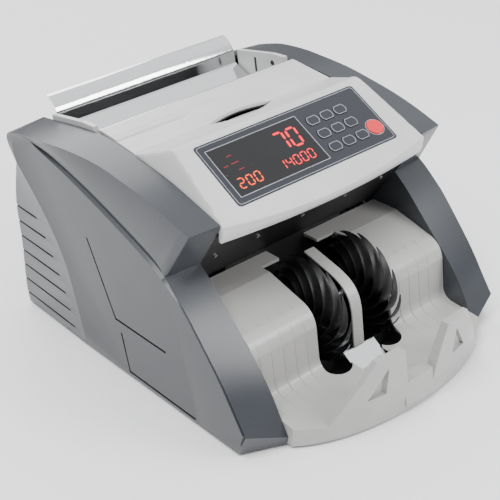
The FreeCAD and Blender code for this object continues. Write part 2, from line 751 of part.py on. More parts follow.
# the lip is bowed in plan: it reaches furthest forward in the middle and slants back under itself
POD_LIP_SIDE = -97.2
POD_LIP_BOW = 12.15
POD_LIP_LEVEL = 158.0
POD_LIP_SLANT = Vector(0, -0.56, 1)


def pod_outline(across, inset):
    """The front panel from the side: lip, keypad face, crest and the run down to the flap."""
    crest = pod_face_point(66.5, -inset)
    foremost = pod_face_point(-16.0, -inset)
    parting = size.pod_parting
    under, step = (-92.0, 147.4), (-87.5, 151.7)
    return outline(across, [step, under], [under, (foremost[0], under[1])],
                   [(foremost[0], under[1]), foremost],
                   [foremost, crest],
                   [crest, (-34.0, 200.3 - inset), (-24.0, 195.5 - inset)],
                   [(-24.0, 195.5 - inset), (parting, 188.0 - inset)],
                   [(parting, 188.0 - inset), (parting, 178.0)],
                   [(parting, 178.0), step])


def pod_plan(inset):
    """What lies behind the bowed lip."""
    half = size.half_gap - size.fit_gap - inset
    low = 140.0
    shift = POD_LIP_SLANT.y * (low - POD_LIP_LEVEL) + inset * 1.15
    points = []
    for step in range(9):
        share = step / 4 - 1
        points.append((half * share, POD_LIP_SIDE + shift - POD_LIP_BOW * (1 - share ** 2)))
    return bowed_prism(points, 100, low, POD_LIP_SLANT, 70)


def pod_flank(inset):
    """What lies outside the pod's sloping left flank."""
    edge = -size.half_gap + size.fit_gap + inset
    corners = [Vector(edge, -97.5, 161.5), Vector(edge, 0, 189.0), Vector(edge + 9.0, -38, 202.0)]
    side = (corners[1] - corners[0]).cross(corners[2] - corners[0]).normalize()
    if side.x > 0:
        side = side * -1
    frame = Placement(corners[0], Rotation(Vector(0, 0, 1), side))
    outside = Part.makeBox(400, 400, 60, Vector(-200, -200, 0))
    outside.Placement = frame
    return outside


def pod_solid(inset):
    """The front panel filled in, with its walls moved inwards by an inset."""
    half = size.half_gap - size.fit_gap - inset
    solid = extruded(pod_outline(-half, inset), 2 * half).common(pod_plan(inset))
    outside = pod_flank(inset)
    return solid.cut([outside, mirrored(outside)])


def front_panel_shape():
    solid = pod_solid(0).cut(pod_solid(size.shell))
    # open underneath
    open_half = size.half_gap - size.fit_gap - size.shell
    solid = solid.cut(slab([(-90, 147), (-84, 154), (3, 186), (8, 178), (8, 140), (-90, 140)],
                           -open_half, open_half))
    seat = bezel_blank(0.2)
    seat.Placement = on_pod(0, size.bezel_start)
    hole = Part.makeBox(size.bezel_width - 6, size.bezel_depth - 6, 12,
                        Vector(-size.bezel_width / 2 + 3, 3, -8))
    hole.Placement = on_pod(0, size.bezel_start)
    return solid.cut([seat, hole])


def key_places():
    """(number, across, up the bezel) of the nine function keys."""
    places = []
    for row in range(3):
        for column in range(3):
            across = size.key_first + column * size.key_pitch_across
            places.append((row * 3 + column + 1, across, size.key_row_start + row * size.key_pitch_up))
    return places


def key_curves(grow=0.0):
    """The four curves of a key's barrel-shaped plan, whose short sides are bowed."""
    half = size.key_width / 2 + grow
    deep = size.key_depth / 2 + grow
    flat = half - 2.2
    left_low, right_low = Vector(-flat, -deep, 0), Vector(flat, -deep, 0)
    left_high, right_high = Vector(-flat, deep, 0), Vector(flat, deep, 0)
    return [Part.LineSegment(left_low, right_low), Part.Arc(right_low, Vector(half, 0, 0), right_high),
            Part.LineSegment(right_high, left_high), Part.Arc(left_high, Vector(-half, 0, 0), left_low)]


def bezel_blank(play):
    """The bezel before its holes are cut, with some play all round."""
    blank = Part.makeBox(size.bezel_width + 2 * play, size.bezel_depth + 2 * play, 5 * size.bezel_sheet,
                         Vector(-size.bezel_width / 2 - play, -play, -size.bezel_sheet))
    upright = [edge for edge in blank.Edges if abs(edge.tangentAt(0).z) > 0.9]
    return blank.makeFillet(size.bezel_corner + play, upright)


def make_bezel():
    above = Part.makeBox(size.bezel_width + 2, size.bezel_depth + 2, 5 * size.bezel_sheet,
                         Vector(-size.bezel_width / 2 - 1, -1, 0))
    plate = bezel_blank(0).cut(above)
    for _, across, up in key_places():
        wire = Part.Wire([curve.toShape() for curve in key_curves(size.key_play)])
        hole = Part.Face(wire).extrude(Vector(0, 0, 6))
        hole.translate(Vector(across, up, -4))
        plate = plate.cut(hole)
    button = Part.makeCylinder(size.start_radius + size.key_play, 6,
                               Vector(size.start_across, size.start_up, -4))
    window = Part.makeBox(size.window_width + 0.2, size.window_depth + 0.2, 6,
                          Vector(size.window_centre - size.window_width / 2 - 0.1,
                                 (size.bezel_depth - size.window_depth) / 2 - 0.1, -4))
    bezel = doc.addObject("Part::Feature", "bezel")
    bezel.Shape = plate.cut([button, window])
    bezel.Placement = on_pod(0, size.bezel_start, size.bezel_proud)
    keep(bezel, "keypad_bezel")


def make_display():
    glass = doc.addObject("Part::Box", "glass")
    bind(glass, Length="dims.window_width", Width="dims.window_depth", Height="dims.bezel_sheet")
    centre = (size.bezel_depth - size.window_depth) / 2
    glass.Placement = on_pod(size.window_centre - size.window_width / 2,
                             size.bezel_start + centre, size.bezel_proud - size.bezel_sheet)
    keep(glass, "display_window")
    module = doc.addObject("Part::Box", "module")
    bind(module, Length="dims.window_width - 6", Width="dims.window_depth - 6", Height="7")
    module.Placement = on_pod(size.window_centre - size.window_width / 2 + 3,
                              size.bezel_start + centre + 3, -size.bezel_sheet - 7.0)
    keep(module, "display_module")


def make_keys():
    """Nine function keys and the round start button, each a moulded cap of its own."""
    for number, across, up in key_places():
        body = body_with("key_%d" % number)
        body.Placement = on_pod(across, size.bezel_start + up, size.key_proud - size.key_thick)
        plan = sketch_on(body, "XY_Plane", "plan")
        for curve in key_curves():
            plan.addGeometry(curve, False)
        cap = pad(body, plan, "dims.key_thick", "cap")
        soften_top(body, cap, 0.4)
    button = body_with("start_button")
    button.Placement = on_pod(size.start_across, size.bezel_start + size.start_up,
                              size.start_proud - size.key_thick)
    plan = sketch_on(button, "XY_Plane", "plan")
    draw_circle(plan, (0, 0), "dims.start_radius")
    cap = pad(button, plan, "dims.key_thick", "cap")
    soften_top(button, cap, 0.6)


def soften_top(body, feature, radius):
    """Round the edges of a cap's upper face."""
    top = feature.Shape.BoundBox.ZMax
    names = []
    for index, edge in enumerate(feature.Shape.Edges, start=1):
        if abs(edge.BoundBox.ZMin - top) < 1e-3:
            names.append("Edge%d" % index)
    fillet = body.newObject("PartDesign::Fillet", "soft_edge")
    fillet.Base = (feature, names)
    fillet.Radius = radius
    doc.recompute()


def make_front_panel():
    computed("front_panel", front_panel_shape())
    make_bezel()
    make_display()
    make_keys()
    # the dark plate that closes the space behind the lip, down to the deck
    half = size.half_gap - size.fit_gap
    plate = slab([(-86.0, 149.5), (-84.0, 151.5), (-35.5, 93.5), (-37.5, 92.0)], -half, half)
    plate = plate.fuse(block((-60, -37.3, 8), (60, -35.5, 93.0))).removeSplitter()
    studs = []
    holes = []
    direction = Vector(0, -math.sin(math.radians(50)), -math.cos(math.radians(50)))
    for across in (-84.0, -44.0, 0.0, 44.0, 84.0):
        foot = Vector(across, -61.0, 122.5)
        studs.append(Part.makeCylinder(1.6, 4.0, foot + direction * -1.0, direction))
        holes.append(Part.makeCylinder(1.6, 12.0, foot + direction * -6.0, direction))
    computed("recess_plate", plate.cut(holes))
    computed("sensor_studs", Part.makeCompound(studs))


# ---------------------------------------------------------------- hopper and feed cover


def make_feed_cover():
    """The flap between the front panel and the hopper, on a pin at its rear edge."""
    front = size.pod_parting + 0.6
    half = size.half_gap - 1.5
    wall = size.shell
    skin = outline(-half, [(front, 188.0), (28.0, 191.6), (52.0, 195.5)],
                   [(52.0, 195.5), (54.0, 193.5)], [(54.0, 193.5), (53.0, 192.6)],
                   [(53.0, 192.6), (28.0, 191.6 - wall), (front, 188.0 - wall)],
                   [(front, 188.0 - wall), (front, 188.0)])
    cover = extruded(skin, 2 * half)
    along, up = size.pin_across, size.pin_up
    for side in (-1, 1):
        near, far = sorted((side * 84.0, side * 90.0))
        lug = slab([(along - 4, up - 3.5), (along + 4, up - 3.5), (along + 4, 193.6),
                    (along - 4, 192.8)], near, far)
        bore = rod(size.pin_radius + size.running, (near - 1, along, up), (far + 1, along, up))
        cover = cover.fuse(lug).cut(bore)
    scoop = Part.makeSphere(60.0, Vector(0, -4.0, 247.2))
    computed("feed_cover", cover.cut(scoop).removeSplitter())
    keep(part_rod("dims.pin_radius", "2 * (dims.half_gap - dims.fit_gap)",
                  "dims.fit_gap - dims.half_gap", "dims.pin_across", "dims.pin_up"),
         "feed_cover_pin")


def make_hopper():
    outer = size.half_gap - size.fit_gap
    # the notch behind the pin lets the open feed cover's rear edge swing down
    wall_points = [(38, 146), (38, 188), (50.5, 188), (50.5, 179), (59.8, 179), (59.8, 196),
                   (76, 196), (126, 190.5), (126, 146)]
    wall = slab(wall_points, size.wall_inner, outer)
    wall = wall.cut(rod(size.pin_radius, (size.wall_inner - 1, size.pin_across, size.pin_up),
                        (outer + 1, size.pin_across, size.pin_up)))
    computed("hopper_wall_right", wall)
    computed("hopper_wall_left", mirrored(wall))

    # the back plate: a flange that leans back, a curve, an upright and a sloping floor
    thick = size.plate_sheet
    half = size.plate_half
    top = size.plate_top
    bend, foot, front = (128.0, top - 17.0), (127.5, 179.0), (72.0, 151.0)
    bend_back, foot_back = (bend[0] + thick, bend[1]), (foot[0] + thick, foot[1] - 0.8)
    front_back = (front[0], front[1] - thick)
    flange = [(142.5, top), (136.5, top - 2.0), (130.5, top - 8.0), bend]
    flange_back = [bend_back, (131.6, top - 8.7), (137.0, top - 3.1), (142.8, top - thick)]
    face = outline(-half, flange, [bend, foot], [foot, front], [front, front_back],
                   [front_back, foot_back], [foot_back, bend_back], flange_back,
                   [flange_back[-1], flange[0]])
    plate = extruded(face, 2 * half)
    for side in (-1, 1):
        near, far = sorted((side * 19.0, side * 39.0))
        plate = plate.cut(block((near, 70, 140), (far, 97, 170)))
    computed("hopper_back_plate", plate)

    # the front guide: a thin sheet with a rolled upper edge
    guide = block((-half, 61.4, 152), (half, 62.6, 188.5))
    bead = rod(2.5, (-half, 62.0, 188.5), (half, 62.0, 188.5))
    computed("front_guide_plate", guide.fuse(bead).removeSplitter())


SEPARATOR_ALONG = 24.0
KNOB_RADIUS = 8.0
KNOB_RIBS = 20
THREAD_RADIUS = 2.5


def make_separator():
    """The rubber-faced block over the feed roller, and the knob that sets its gap."""
    holder = block((-14, SEPARATOR_ALONG - 20, 154), (14, SEPARATOR_ALONG + 22, 160))
    pad_block = block((-12, SEPARATOR_ALONG + 8, 146.6), (12, SEPARATOR_ALONG + 22, 154))
    bore = rod(THREAD_RADIUS + size.running, (0, SEPARATOR_ALONG, 150), (0, SEPARATOR_ALONG, 165))
    computed("separator_block", holder.fuse(pad_block).cut(bore).removeSplitter())
    thread = rod(THREAD_RADIUS, (0, SEPARATOR_ALONG, 148), (0, SEPARATOR_ALONG, 163))
    head = rod(KNOB_RADIUS, (0, SEPARATOR_ALONG, 162), (0, SEPARATOR_ALONG, 172))
    ribs = []
    for index in range(KNOB_RIBS):
        angle = math.tau * index / KNOB_RIBS
        place = (KNOB_RADIUS * math.cos(angle), SEPARATOR_ALONG + KNOB_RADIUS * math.sin(angle))
        ribs.append(rod(0.6, (*place, 162), (*place, 172)))
    computed("adjusting_knob", thread.fuse([head] + ribs).removeSplitter())


# ---------------------------------------------------------------- rear cover and electrics

PANEL_OUTER_STEP = 2.5
INLET_PLACE = (-58.0, 46.0)
SWITCH_PLACE = (-15.0, 46.0)
PORT_PLACE = (24.0, 46.0)
DRAWER_LOW = 24.3
DRAWER_HIGH = 30.7
ROCKER_PIVOT = 2.2
ROCKER_PIVOT_DEPTH = 168.0


def make_rear_cover():
    inner = size.rear_panel
    outer = inner + PANEL_OUTER_STEP
    half = size.half_gap - size.fit_gap
    low = size.foot_height - 0.5
    shell_points = [(outer, low), (outer, 66), (156.5, 122), (141.0, 152.0), (143.5, 172), (139, 181),
                    (131.5, 181), (131.5, 178.5), (137, 178.5), (141, 171), (138.4, 152.4),
                    (154.0, 121), (inner, 65.5), (inner, low)]
    shell = slab(shell_points, -half, half)
    holes = []
    for (across, up), (wide, tall) in ((INLET_PLACE, (27.6, 19.6)), (SWITCH_PLACE, (15, 21.8)),
                                       (PORT_PLACE, (14, 12))):
        holes.append(block((across - wide / 2, inner - 1, up - tall / 2),
                           (across + wide / 2, outer + 1, up + tall / 2)))
    across, low_edge, high_edge = INLET_PLACE[0], DRAWER_LOW - 0.3, DRAWER_HIGH + 0.3
    holes.append(block((across - 9, inner - 1, low_edge), (across + 9, outer + 1, high_edge)))
    shell = shell.cut(holes)
    # two lugs inside the cover hold the rocker's pivots
    across, up = SWITCH_PLACE
    for side in (-1, 1):
        near, far = sorted((across + side * 7.5, across + side * 10.5))
        lug = block((near, ROCKER_PIVOT_DEPTH - 5, up - 5), (far, inner + 0.5, up + 5))
        bore = rod(ROCKER_PIVOT + size.running, (near - 1, ROCKER_PIVOT_DEPTH, up),
                   (far + 1, ROCKER_PIVOT_DEPTH, up))
        shell = shell.fuse(lug).cut(bore)
    computed("rear_cover", shell.removeSplitter())


def make_rear_fittings():
    inner = size.rear_panel
    outer = inner + PANEL_OUTER_STEP
    across, up = INLET_PLACE
    housing = block((across - 13.6, inner - 16, up - 9.6), (across + 13.6, outer + 0.2, up + 9.6))
    flange = block((across - 16, outer + 0.02, up - 12), (across + 16, outer + 2, up + 12))
    cavity = block((across - 12, inner - 13, up - 8), (across + 12, outer + 3, up + 8))
    inlet = housing.fuse(flange).cut(cavity)
    for shift, rise in ((-7, -2.5), (0, 2.5), (7, -2.5)):
        inlet = inlet.fuse(block((across + shift - 1, inner - 14, up + rise - 2.5),
                                 (across + shift + 1, outer - 4, up + rise + 2.5)))
    computed("power_inlet", inlet.removeSplitter())
    drawer = block((across - 8.7, inner - 14, DRAWER_LOW), (across + 8.7, outer + 0.4, DRAWER_HIGH))
    lip = block((across - 10, outer + 0.02, DRAWER_LOW - 1.3), (across + 10, outer + 1.6, DRAWER_HIGH + 1.3))
    computed("fuse_drawer", drawer.fuse(lip).removeSplitter())

    across, up = SWITCH_PLACE
    rocker = slab([(inner - 6, up - 9.5), (outer + 3.2, up - 9.5), (outer + 0.6, up),
                   (outer + 0.4, up + 9.5), (inner - 6, up + 9.5)], across - 7, across + 7)
    pivot = rod(ROCKER_PIVOT, (across - 10, ROCKER_PIVOT_DEPTH, up), (across + 10, ROCKER_PIVOT_DEPTH, up))
    computed("rocker_switch", rocker.fuse(pivot).removeSplitter())

    across, up = PORT_PLACE
    port = block((across - 6.8, inner - 14, up - 5.8), (across + 6.8, outer + 0.6, up + 5.8))
    port = port.cut(block((across - 5, inner - 11, up - 4), (across + 5, outer + 1, up + 4)))
    computed("display_port", port)


def make_electrics():
    """The transformer, with its winding inside a four-sided core, and the main board."""
    floor = size.foot_height + size.floor_sheet
    left, right, near, far, tall = -78, -30, 88, 132, 38
    core = [block((left, near, floor), (right, far, floor + 8)),
            block((left, near, floor + tall - 8), (right, far, floor + tall)),
            block((left, near, floor), (left + 8, far, floor + tall)),
            block((right - 8, near, floor), (right, far, floor + tall))]
    winding = block((left + 6, near - 4, floor + 9), (right - 6, far + 4, floor + tall - 9))
    computed("transformer", core[0].fuse(core[1:] + [winding]).removeSplitter())

    under = floor + 6
    top = under + 1.6
    board = block((-62, -22, under), (58, 62, top))
    parts = [block((-40, 0, top), (-18, 22, top + 2.4)),
             block((8, 10, top), (30, 26, top + 2.4)),
             block((-55, 40, top), (-10, 50, top + 8.4))]
    for across in (-56, 52):
        for along in (-16, 56):
            parts.append(rod(3, (across, along, floor), (across, along, under)))
    for across in (36, 48):
        parts.append(rod(5, (across, 44, top), (across, 44, top + 18.4)))
    computed("main_board", board.fuse(parts).removeSplitter())


def screw(head_start, direction):
    """A pan-head screw with a slot, its head standing on head_start."""
    start = Vector(*head_start)
    way = Vector(*direction)
    head = Part.makeCylinder(2.8, 1.6, start, way)
    cross = Part.makeCylinder(0.9, 1.0, start + way * 0.8, way)
    return head.cut(cross)


def make_screws():
    outer = size.rear_panel + PANEL_OUTER_STEP
    places = [((across, outer, up), (0, 1, 0)) for across in (-88, 88) for up in (14, 58)]
    places.append(((0, -115.5, 34.5), (0, -1, 0)))
    computed("panel_screws", Part.makeCompound([screw(*place) for place in places]))


# ---------------------------------------------------------------- build, check and write

make_side_covers()
make_base_tray()
make_feet()
make_side_frames()
make_bushes()
make_cross_bars()
make_driven_shafts()
make_belts()
make_motor()
make_stacker_wheels()
make_stacker()
make_front_panel()
make_feed_cover()
make_hopper()
make_separator()
make_rear_cover()
make_rear_fittings()
make_electrics()
make_screws()

doc.recompute()
for item in doc.Objects:
    if "Invalid" in item.State or "Error" in item.State:
        raise RuntimeError("%s did not compute: %s" % (item.Label, item.State))
for node in nodes:
    if node.Shape.isNull() or not node.Shape.isValid():
        raise RuntimeError(node.Label + " has no valid shape")

os.makedirs("parts", exist_ok=True)
for node in nodes:
    node.Shape.exportStep("parts/%s.step" % node.Label)
    print("%-22s %10.0f mm3, %d solid(s)" % (node.Label, node.Shape.Volume, len(node.Shape.Solids)))
print(len(nodes), "nodes")
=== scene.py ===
# %% [markdown]
# # A banknote counting machine
# The CAD model already holds every part of the machine at its true size. This script dresses it: it
# gives each CAD part the finish of its real material, and it models again, in finer detail, the covers,
# the keypad, the stacker and the other pieces that a person looks at. Everything is in metres.

# %% Load the frame and keep its box
import json
import math

import bpy
from mathutils import Matrix, Vector


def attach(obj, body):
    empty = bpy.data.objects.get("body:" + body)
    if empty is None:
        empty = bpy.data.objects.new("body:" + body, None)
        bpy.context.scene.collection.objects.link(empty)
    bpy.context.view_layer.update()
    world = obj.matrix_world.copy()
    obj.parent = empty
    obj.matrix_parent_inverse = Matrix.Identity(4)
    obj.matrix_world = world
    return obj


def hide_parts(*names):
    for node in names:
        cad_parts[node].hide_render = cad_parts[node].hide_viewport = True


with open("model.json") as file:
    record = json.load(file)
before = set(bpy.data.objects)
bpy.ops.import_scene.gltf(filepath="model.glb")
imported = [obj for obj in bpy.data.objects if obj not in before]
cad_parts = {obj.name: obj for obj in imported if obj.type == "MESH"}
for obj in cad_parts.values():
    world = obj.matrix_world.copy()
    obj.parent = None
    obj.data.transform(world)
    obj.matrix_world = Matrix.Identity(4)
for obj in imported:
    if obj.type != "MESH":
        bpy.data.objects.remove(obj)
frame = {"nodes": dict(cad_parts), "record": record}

bpy.context.view_layer.update()

MM = 0.001
LEFT, RIGHT = -1, 1
nodes = frame["nodes"]
bpy.ops.object.select_all(action="DESELECT")

# %% [markdown]
# ## Helpers for the finishes
# Colours are picked as the sRGB hex codes that a paint chart gives, and Blender's shaders want linear
# light, so one function turns them. Another adds a shader node, fills in its settings and joins it up,
# which keeps each finish down to a few readable lines.

# %% Colour and node helpers
def srgb(code):
    """A #rrggbb colour in linear light, with full alpha."""
    parts = [int(code[i:i + 2], 16) / 255 for i in (1, 3, 5)]
    linear = [c / 12.92 if c <= 0.04045 else ((c + 0.055) / 1.055) ** 2.4 for c in parts]
    return (*linear, 1.0)


def add_node(tree, kind, links=(), **settings):
    """Adds a node. Settings with a capital name an input socket, and the others are the node's own."""
    node = tree.nodes.new(kind)
    for key, value in settings.items():
        name = key.replace("_", " ")
        if key[0].isupper():
            node.inputs[name].default_value = value
        else:
            setattr(node, key, value)
    for source, socket in links:
        tree.links.new(source, node.inputs[socket])
    return node


def new_finish(name, colour, roughness, metallic=0.0, ior=None):
    """A material with one principled shader. Returns the material, its tree and the shader."""
    material = bpy.data.materials.new(name)
    material.use_nodes = True
    tree = material.node_tree
    shader = tree.nodes["Principled BSDF"]
    shader.inputs["Base Color"].default_value = srgb(colour)
    shader.inputs["Roughness"].default_value = roughness
    shader.inputs["Metallic"].default_value = metallic
    if ior is not None:
        shader.inputs["IOR"].default_value = ior
    return material, tree, shader


def grain(tree, size_mm, detail=3.0, stretch=(1.0, 1.0, 1.0)):
    """Noise whose lumps are about size_mm across, on the piece's own coordinates in metres."""
    place = add_node(tree, "ShaderNodeTexCoord")
    scaled = add_node(tree, "ShaderNodeMapping", [(place.outputs["Object"], "Vector")], Scale=stretch)
    return add_node(tree, "ShaderNodeTexNoise", [(scaled.outputs["Vector"], "Vector")],
                    Scale=1000.0 / size_mm, Detail=detail)


def vary_colour(tree, shader, noise, dark, light):
    """Lets the colour drift between two close shades."""
    ramp = add_node(tree, "ShaderNodeValToRGB", [(noise.outputs["Fac"], "Fac")])
    ramp.color_ramp.elements[0].position = 0.3
    ramp.color_ramp.elements[0].color = srgb(dark)
    ramp.color_ramp.elements[1].position = 0.7
    ramp.color_ramp.elements[1].color = srgb(light)
    tree.links.new(ramp.outputs["Color"], shader.inputs["Base Color"])


def vary_roughness(tree, shader, noise, low, high):
    """Lets the gloss drift between two values."""
    span = add_node(tree, "ShaderNodeMapRange", [(noise.outputs["Fac"], "Value")],
                    From_Min=0.3, From_Max=0.7, To_Min=low, To_Max=high)
    tree.links.new(span.outputs["Result"], shader.inputs["Roughness"])


def raise_bump(tree, shader, noise, height_mm, strength=1.0):
    """Turns the noise into real height on the surface."""
    bump = add_node(tree, "ShaderNodeBump", [(noise.outputs["Fac"], "Height")],
                    Strength=strength, Distance=height_mm * MM)
    tree.links.new(bump.outputs["Normal"], shader.inputs["Normal"])


# %% [markdown]
# ## Moulded and sprayed plastics
# The covers are injection-moulded ABS. The big grey ones are sprayed with a satin paint that has a
# little metal in it, so they carry soft highlights, and the light ones are bare ABS with a fine spark
# texture from the mould. ABS has an IOR near 1.53. The texture of a real mould is about 0.2 mm, too
# fine to show at this size, so it is drawn at about 0.6 mm.

# %% Plastic finishes
def sprayed_abs(name, dark, light, roughness):
    """Satin grey spray paint: slow drift in shade, faint orange peel, a thin clear gloss."""
    material, tree, shader = new_finish(name, light, roughness, ior=1.5)
    slow = grain(tree, 60.0, 2.0)
    vary_colour(tree, shader, slow, dark, light)
    fine = grain(tree, 0.7, 2.0)
    vary_roughness(tree, shader, fine, roughness - 0.03, roughness + 0.05)
    raise_bump(tree, shader, fine, 0.012)
    shader.inputs["Coat Weight"].default_value = 0.12
    shader.inputs["Coat Roughness"].default_value = 0.22
    return material


def bare_abs(name, dark, light, roughness, texture_mm=0.6, height_mm=0.02):
    """Uncoated moulded plastic with the fine spark texture of its mould."""
    material, tree, shader = new_finish(name, light, roughness, ior=1.53)
    slow = grain(tree, 45.0, 2.0)
    vary_colour(tree, shader, slow, dark, light)
    fine = grain(tree, texture_mm, 2.0)
    vary_roughness(tree, shader, fine, roughness - 0.04, roughness + 0.06)
    raise_bump(tree, shader, fine, height_mm)
    return material


grey_paint = sprayed_abs("satin_grey_paint_on_abs", "#2e3136", "#33363b", 0.30)
light_abs = bare_abs("light_grey_abs", "#bebebe", "#c6c6c5", 0.34)
tray_abs = bare_abs("silver_grey_abs", "#a09f9d", "#a8a7a5", 0.30)
black_abs = bare_abs("black_abs", "#060607", "#0a0a0b", 0.50)
glossy_black_abs = bare_abs("glossy_black_abs", "#030304", "#060607", 0.44, 2.0, 0.01)
print("plastics ready")

# %% [markdown]
# ## Metals
# The note guides are polished stainless sheet, which mirrors its surroundings and shows faint marks of
# the polishing belt along its length. The frames and bars are zinc-plated steel, greyer and softer, with
# the cloudy spangle of the plating. Shafts are ground bright, and bushes are sintered bronze.

# %% Metal finishes
def brushed(name, colour, roughness, stretch, size_mm=0.5, height_mm=0.004):
    """Metal with fine marks drawn out along one direction."""
    material, tree, shader = new_finish(name, colour, roughness, metallic=1.0)
    marks = grain(tree, size_mm, 3.0, stretch)
    vary_roughness(tree, shader, marks, roughness * 0.8, roughness * 1.3)
    raise_bump(tree, shader, marks, height_mm)
    return material


polished_steel = brushed("polished_stainless_steel", "#d9dadb", 0.09, (0.02, 1.0, 1.0))
ground_steel = brushed("ground_shaft_steel", "#bfc1c4", 0.22, (0.05, 1.0, 1.0))
bronze = brushed("sintered_bronze", "#9c7244", 0.42, (1.0, 1.0, 1.0), 0.8)


def zinc_plate():
    """Zinc plating: cloudy patches a few millimetres across."""
    material, tree, shader = new_finish("zinc_plated_steel", "#9fa2a6", 0.38, metallic=1.0)
    clouds = grain(tree, 6.0, 2.0)
    vary_colour(tree, shader, clouds, "#94979b", "#aaadb1")
    vary_roughness(tree, shader, clouds, 0.32, 0.46)
    return material


zinc_steel = zinc_plate()
print("metals ready")

# %% [markdown]
# ## Rubber, film, glass and board
# The keypad is a screen-printed polyester film, slate coloured and slightly glossy. The display window
# is tinted acrylic, almost black. Rollers are grey-black silicone rubber with a ground, slightly dusty
# surface.

# %% Other finishes
black_rubber = bare_abs("black_rubber", "#141414", "#1c1c1c", 0.72, 0.8, 0.03)
roller_rubber = bare_abs("ground_silicone_rubber", "#2b2b2d", "#353537", 0.65, 0.5, 0.03)
printed_film = bare_abs("printed_polyester_film", "#1d2027", "#20232b", 0.24, 3.0, 0.0005)
red_cap = bare_abs("red_printed_film", "#d8202e", "#e02a38", 0.30, 0.8, 0.004)
pale_ink = bare_abs("pale_grey_ink", "#8e9098", "#9a9ca4", 0.45, 0.8, 0.004)


def tinted_acrylic():
    """A near-black acrylic window: smooth, glossy, with a faint lengthwise drift of the sheet."""
    material, tree, shader = new_finish("tinted_acrylic", "#09090b", 0.06, ior=1.49)
    slow = grain(tree, 30.0, 1.0)
    vary_colour(tree, shader, slow, "#08080a", "#0c0c0f")
    return material


def solder_mask():
    """A green fibreglass board, with the weave showing faintly through its varnish."""
    material, tree, shader = new_finish("green_solder_mask", "#1d5b34", 0.3, ior=1.55)
    weave = grain(tree, 0.8, 1.0)
    vary_colour(tree, shader, weave, "#174c2b", "#20643a")
    raise_bump(tree, shader, weave, 0.02)
    return material


acrylic = tinted_acrylic()
board_green = solder_mask()

# %% [markdown]
# ## Dress every CAD part
# Each CAD part gets the finish of the material slot that the record gives it. A CAD part's mesh is never
# touched, only its material.

# %% Finishes for the CAD parts
FINISH_OF_SLOT = {
    "grey_shell": grey_paint, "light_shell": light_abs, "tray_shell": tray_abs,
    "black_plastic": black_abs, "polished_steel": polished_steel, "zinc_steel": zinc_steel,
    "shaft_steel": ground_steel, "bronze": bronze, "black_rubber": black_rubber,
    "roller_rubber": roller_rubber, "bezel_film": printed_film, "start_red": red_cap,
    "dark_window": acrylic, "display_module": glossy_black_abs, "circuit_board": board_green,
}
for part in frame["record"]["subparts"]:
    part_mesh = nodes[part["node"]].data
    part_mesh.materials.clear()
    part_mesh.materials.append(FINISH_OF_SLOT[part["material_slot"]])

# %% [markdown]
# ## Helpers for modelling
# Most covers here are lofts: a closed ring of corners is drawn, extruded, and its new corners are moved
# to the next ring, over and over. A number stored on every corner travels with each extrusion, so a
# corner always knows which place in the next ring is its own.

# %% Loft helpers
def smooth_run(points, count):
    """count corners, evenly spaced along a smooth line through the points, without the last one."""
    knots = [Vector(p) for p in points]
    lengths = [0.0]
    for a, b in zip(knots, knots[1:]):
        lengths.append(lengths[-1] + max((b - a).length, 1e-6))
    slopes = []
    for i in range(len(knots)):
        low, high = max(i - 1, 0), min(i + 1, len(knots) - 1)
        slopes.append((knots[high] - knots[low]) / (lengths[high] - lengths[low]))
    corners = []
    for step in range(count):
        along = lengths[-1] * step / count
        i = max(k for k in range(len(knots) - 1) if lengths[k] <= along)
        span = lengths[i + 1] - lengths[i]
        u = (along - lengths[i]) / span
        corners.append(knots[i] * (2 * u**3 - 3 * u**2 + 1) + knots[i + 1] * (3 * u**2 - 2 * u**3)
                       + slopes[i] * span * (u**3 - 2 * u**2 + u) + slopes[i + 1] * span * (u**3 - u**2))
    return corners


def straight_run(points, count):
    """The same along straight lines, sharing the corners evenly between them."""
    corners = []
    spans = list(zip(points, points[1:]))
    for number, (a, b) in enumerate(spans):
        share = (number + 1) * count // len(spans) - number * count // len(spans)
        corners += [Vector(a).lerp(Vector(b), step / share) for step in range(share)]
    return corners


def select_corners(piece, test):
    """Selects the corners for which test(corner) is true, and nothing else."""
    for group in (piece.data.polygons, piece.data.edges):
        for part in group:
            part.select = False
    for corner in piece.data.vertices:
        corner.select = bool(test(corner))


def edit(piece, *steps):
    """Runs edit-mode steps on one piece and comes back to object mode."""
    bpy.ops.object.select_all(action="DESELECT")
    piece.select_set(True)
    bpy.context.view_layer.objects.active = piece
    bpy.ops.object.mode_set(mode="EDIT")
    bpy.ops.mesh.select_mode(type="VERT")
    for step in steps:
        step()
    bpy.ops.object.mode_set(mode="OBJECT")


def loft(name, rings, caps=(True, True)):
    """A skin over rings of the same number of corners, in millimetres. caps close its two ends."""
    size = len(rings[0])
    bpy.ops.object.select_all(action="DESELECT")
    bpy.ops.mesh.primitive_circle_add(vertices=size, fill_type="NOTHING")
    piece = bpy.context.object
    piece.name = name
    piece.data.name = name
    order = piece.data.attributes.new("order", "INT", "POINT")
    order.data.foreach_set("value", list(range(size)))
    for corner, place in zip(piece.data.vertices, rings[0]):
        corner.co = Vector(place) * MM
    edit(piece, lambda: bpy.ops.mesh.select_all(action="SELECT"))
    for ring in rings[1:]:
        edit(piece, bpy.ops.mesh.extrude_region_move)
        numbers = piece.data.attributes["order"].data
        for corner in piece.data.vertices:
            if corner.select:
                corner.co = Vector(ring[numbers[corner.index].value]) * MM
    if caps[1]:
        edit(piece, bpy.ops.mesh.edge_face_add)
    if caps[0]:
        select_corners(piece, lambda corner: corner.index < size)
        edit(piece, bpy.ops.mesh.edge_face_add)
    close_up(piece)
    return piece


def close_up(piece, gap=0.00001):
    """Merges doubled corners and turns every face outwards."""
    edit(piece, lambda: bpy.ops.mesh.select_all(action="SELECT"),
         lambda: bpy.ops.mesh.remove_doubles(threshold=gap),
         lambda: bpy.ops.mesh.normals_make_consistent(inside=False))


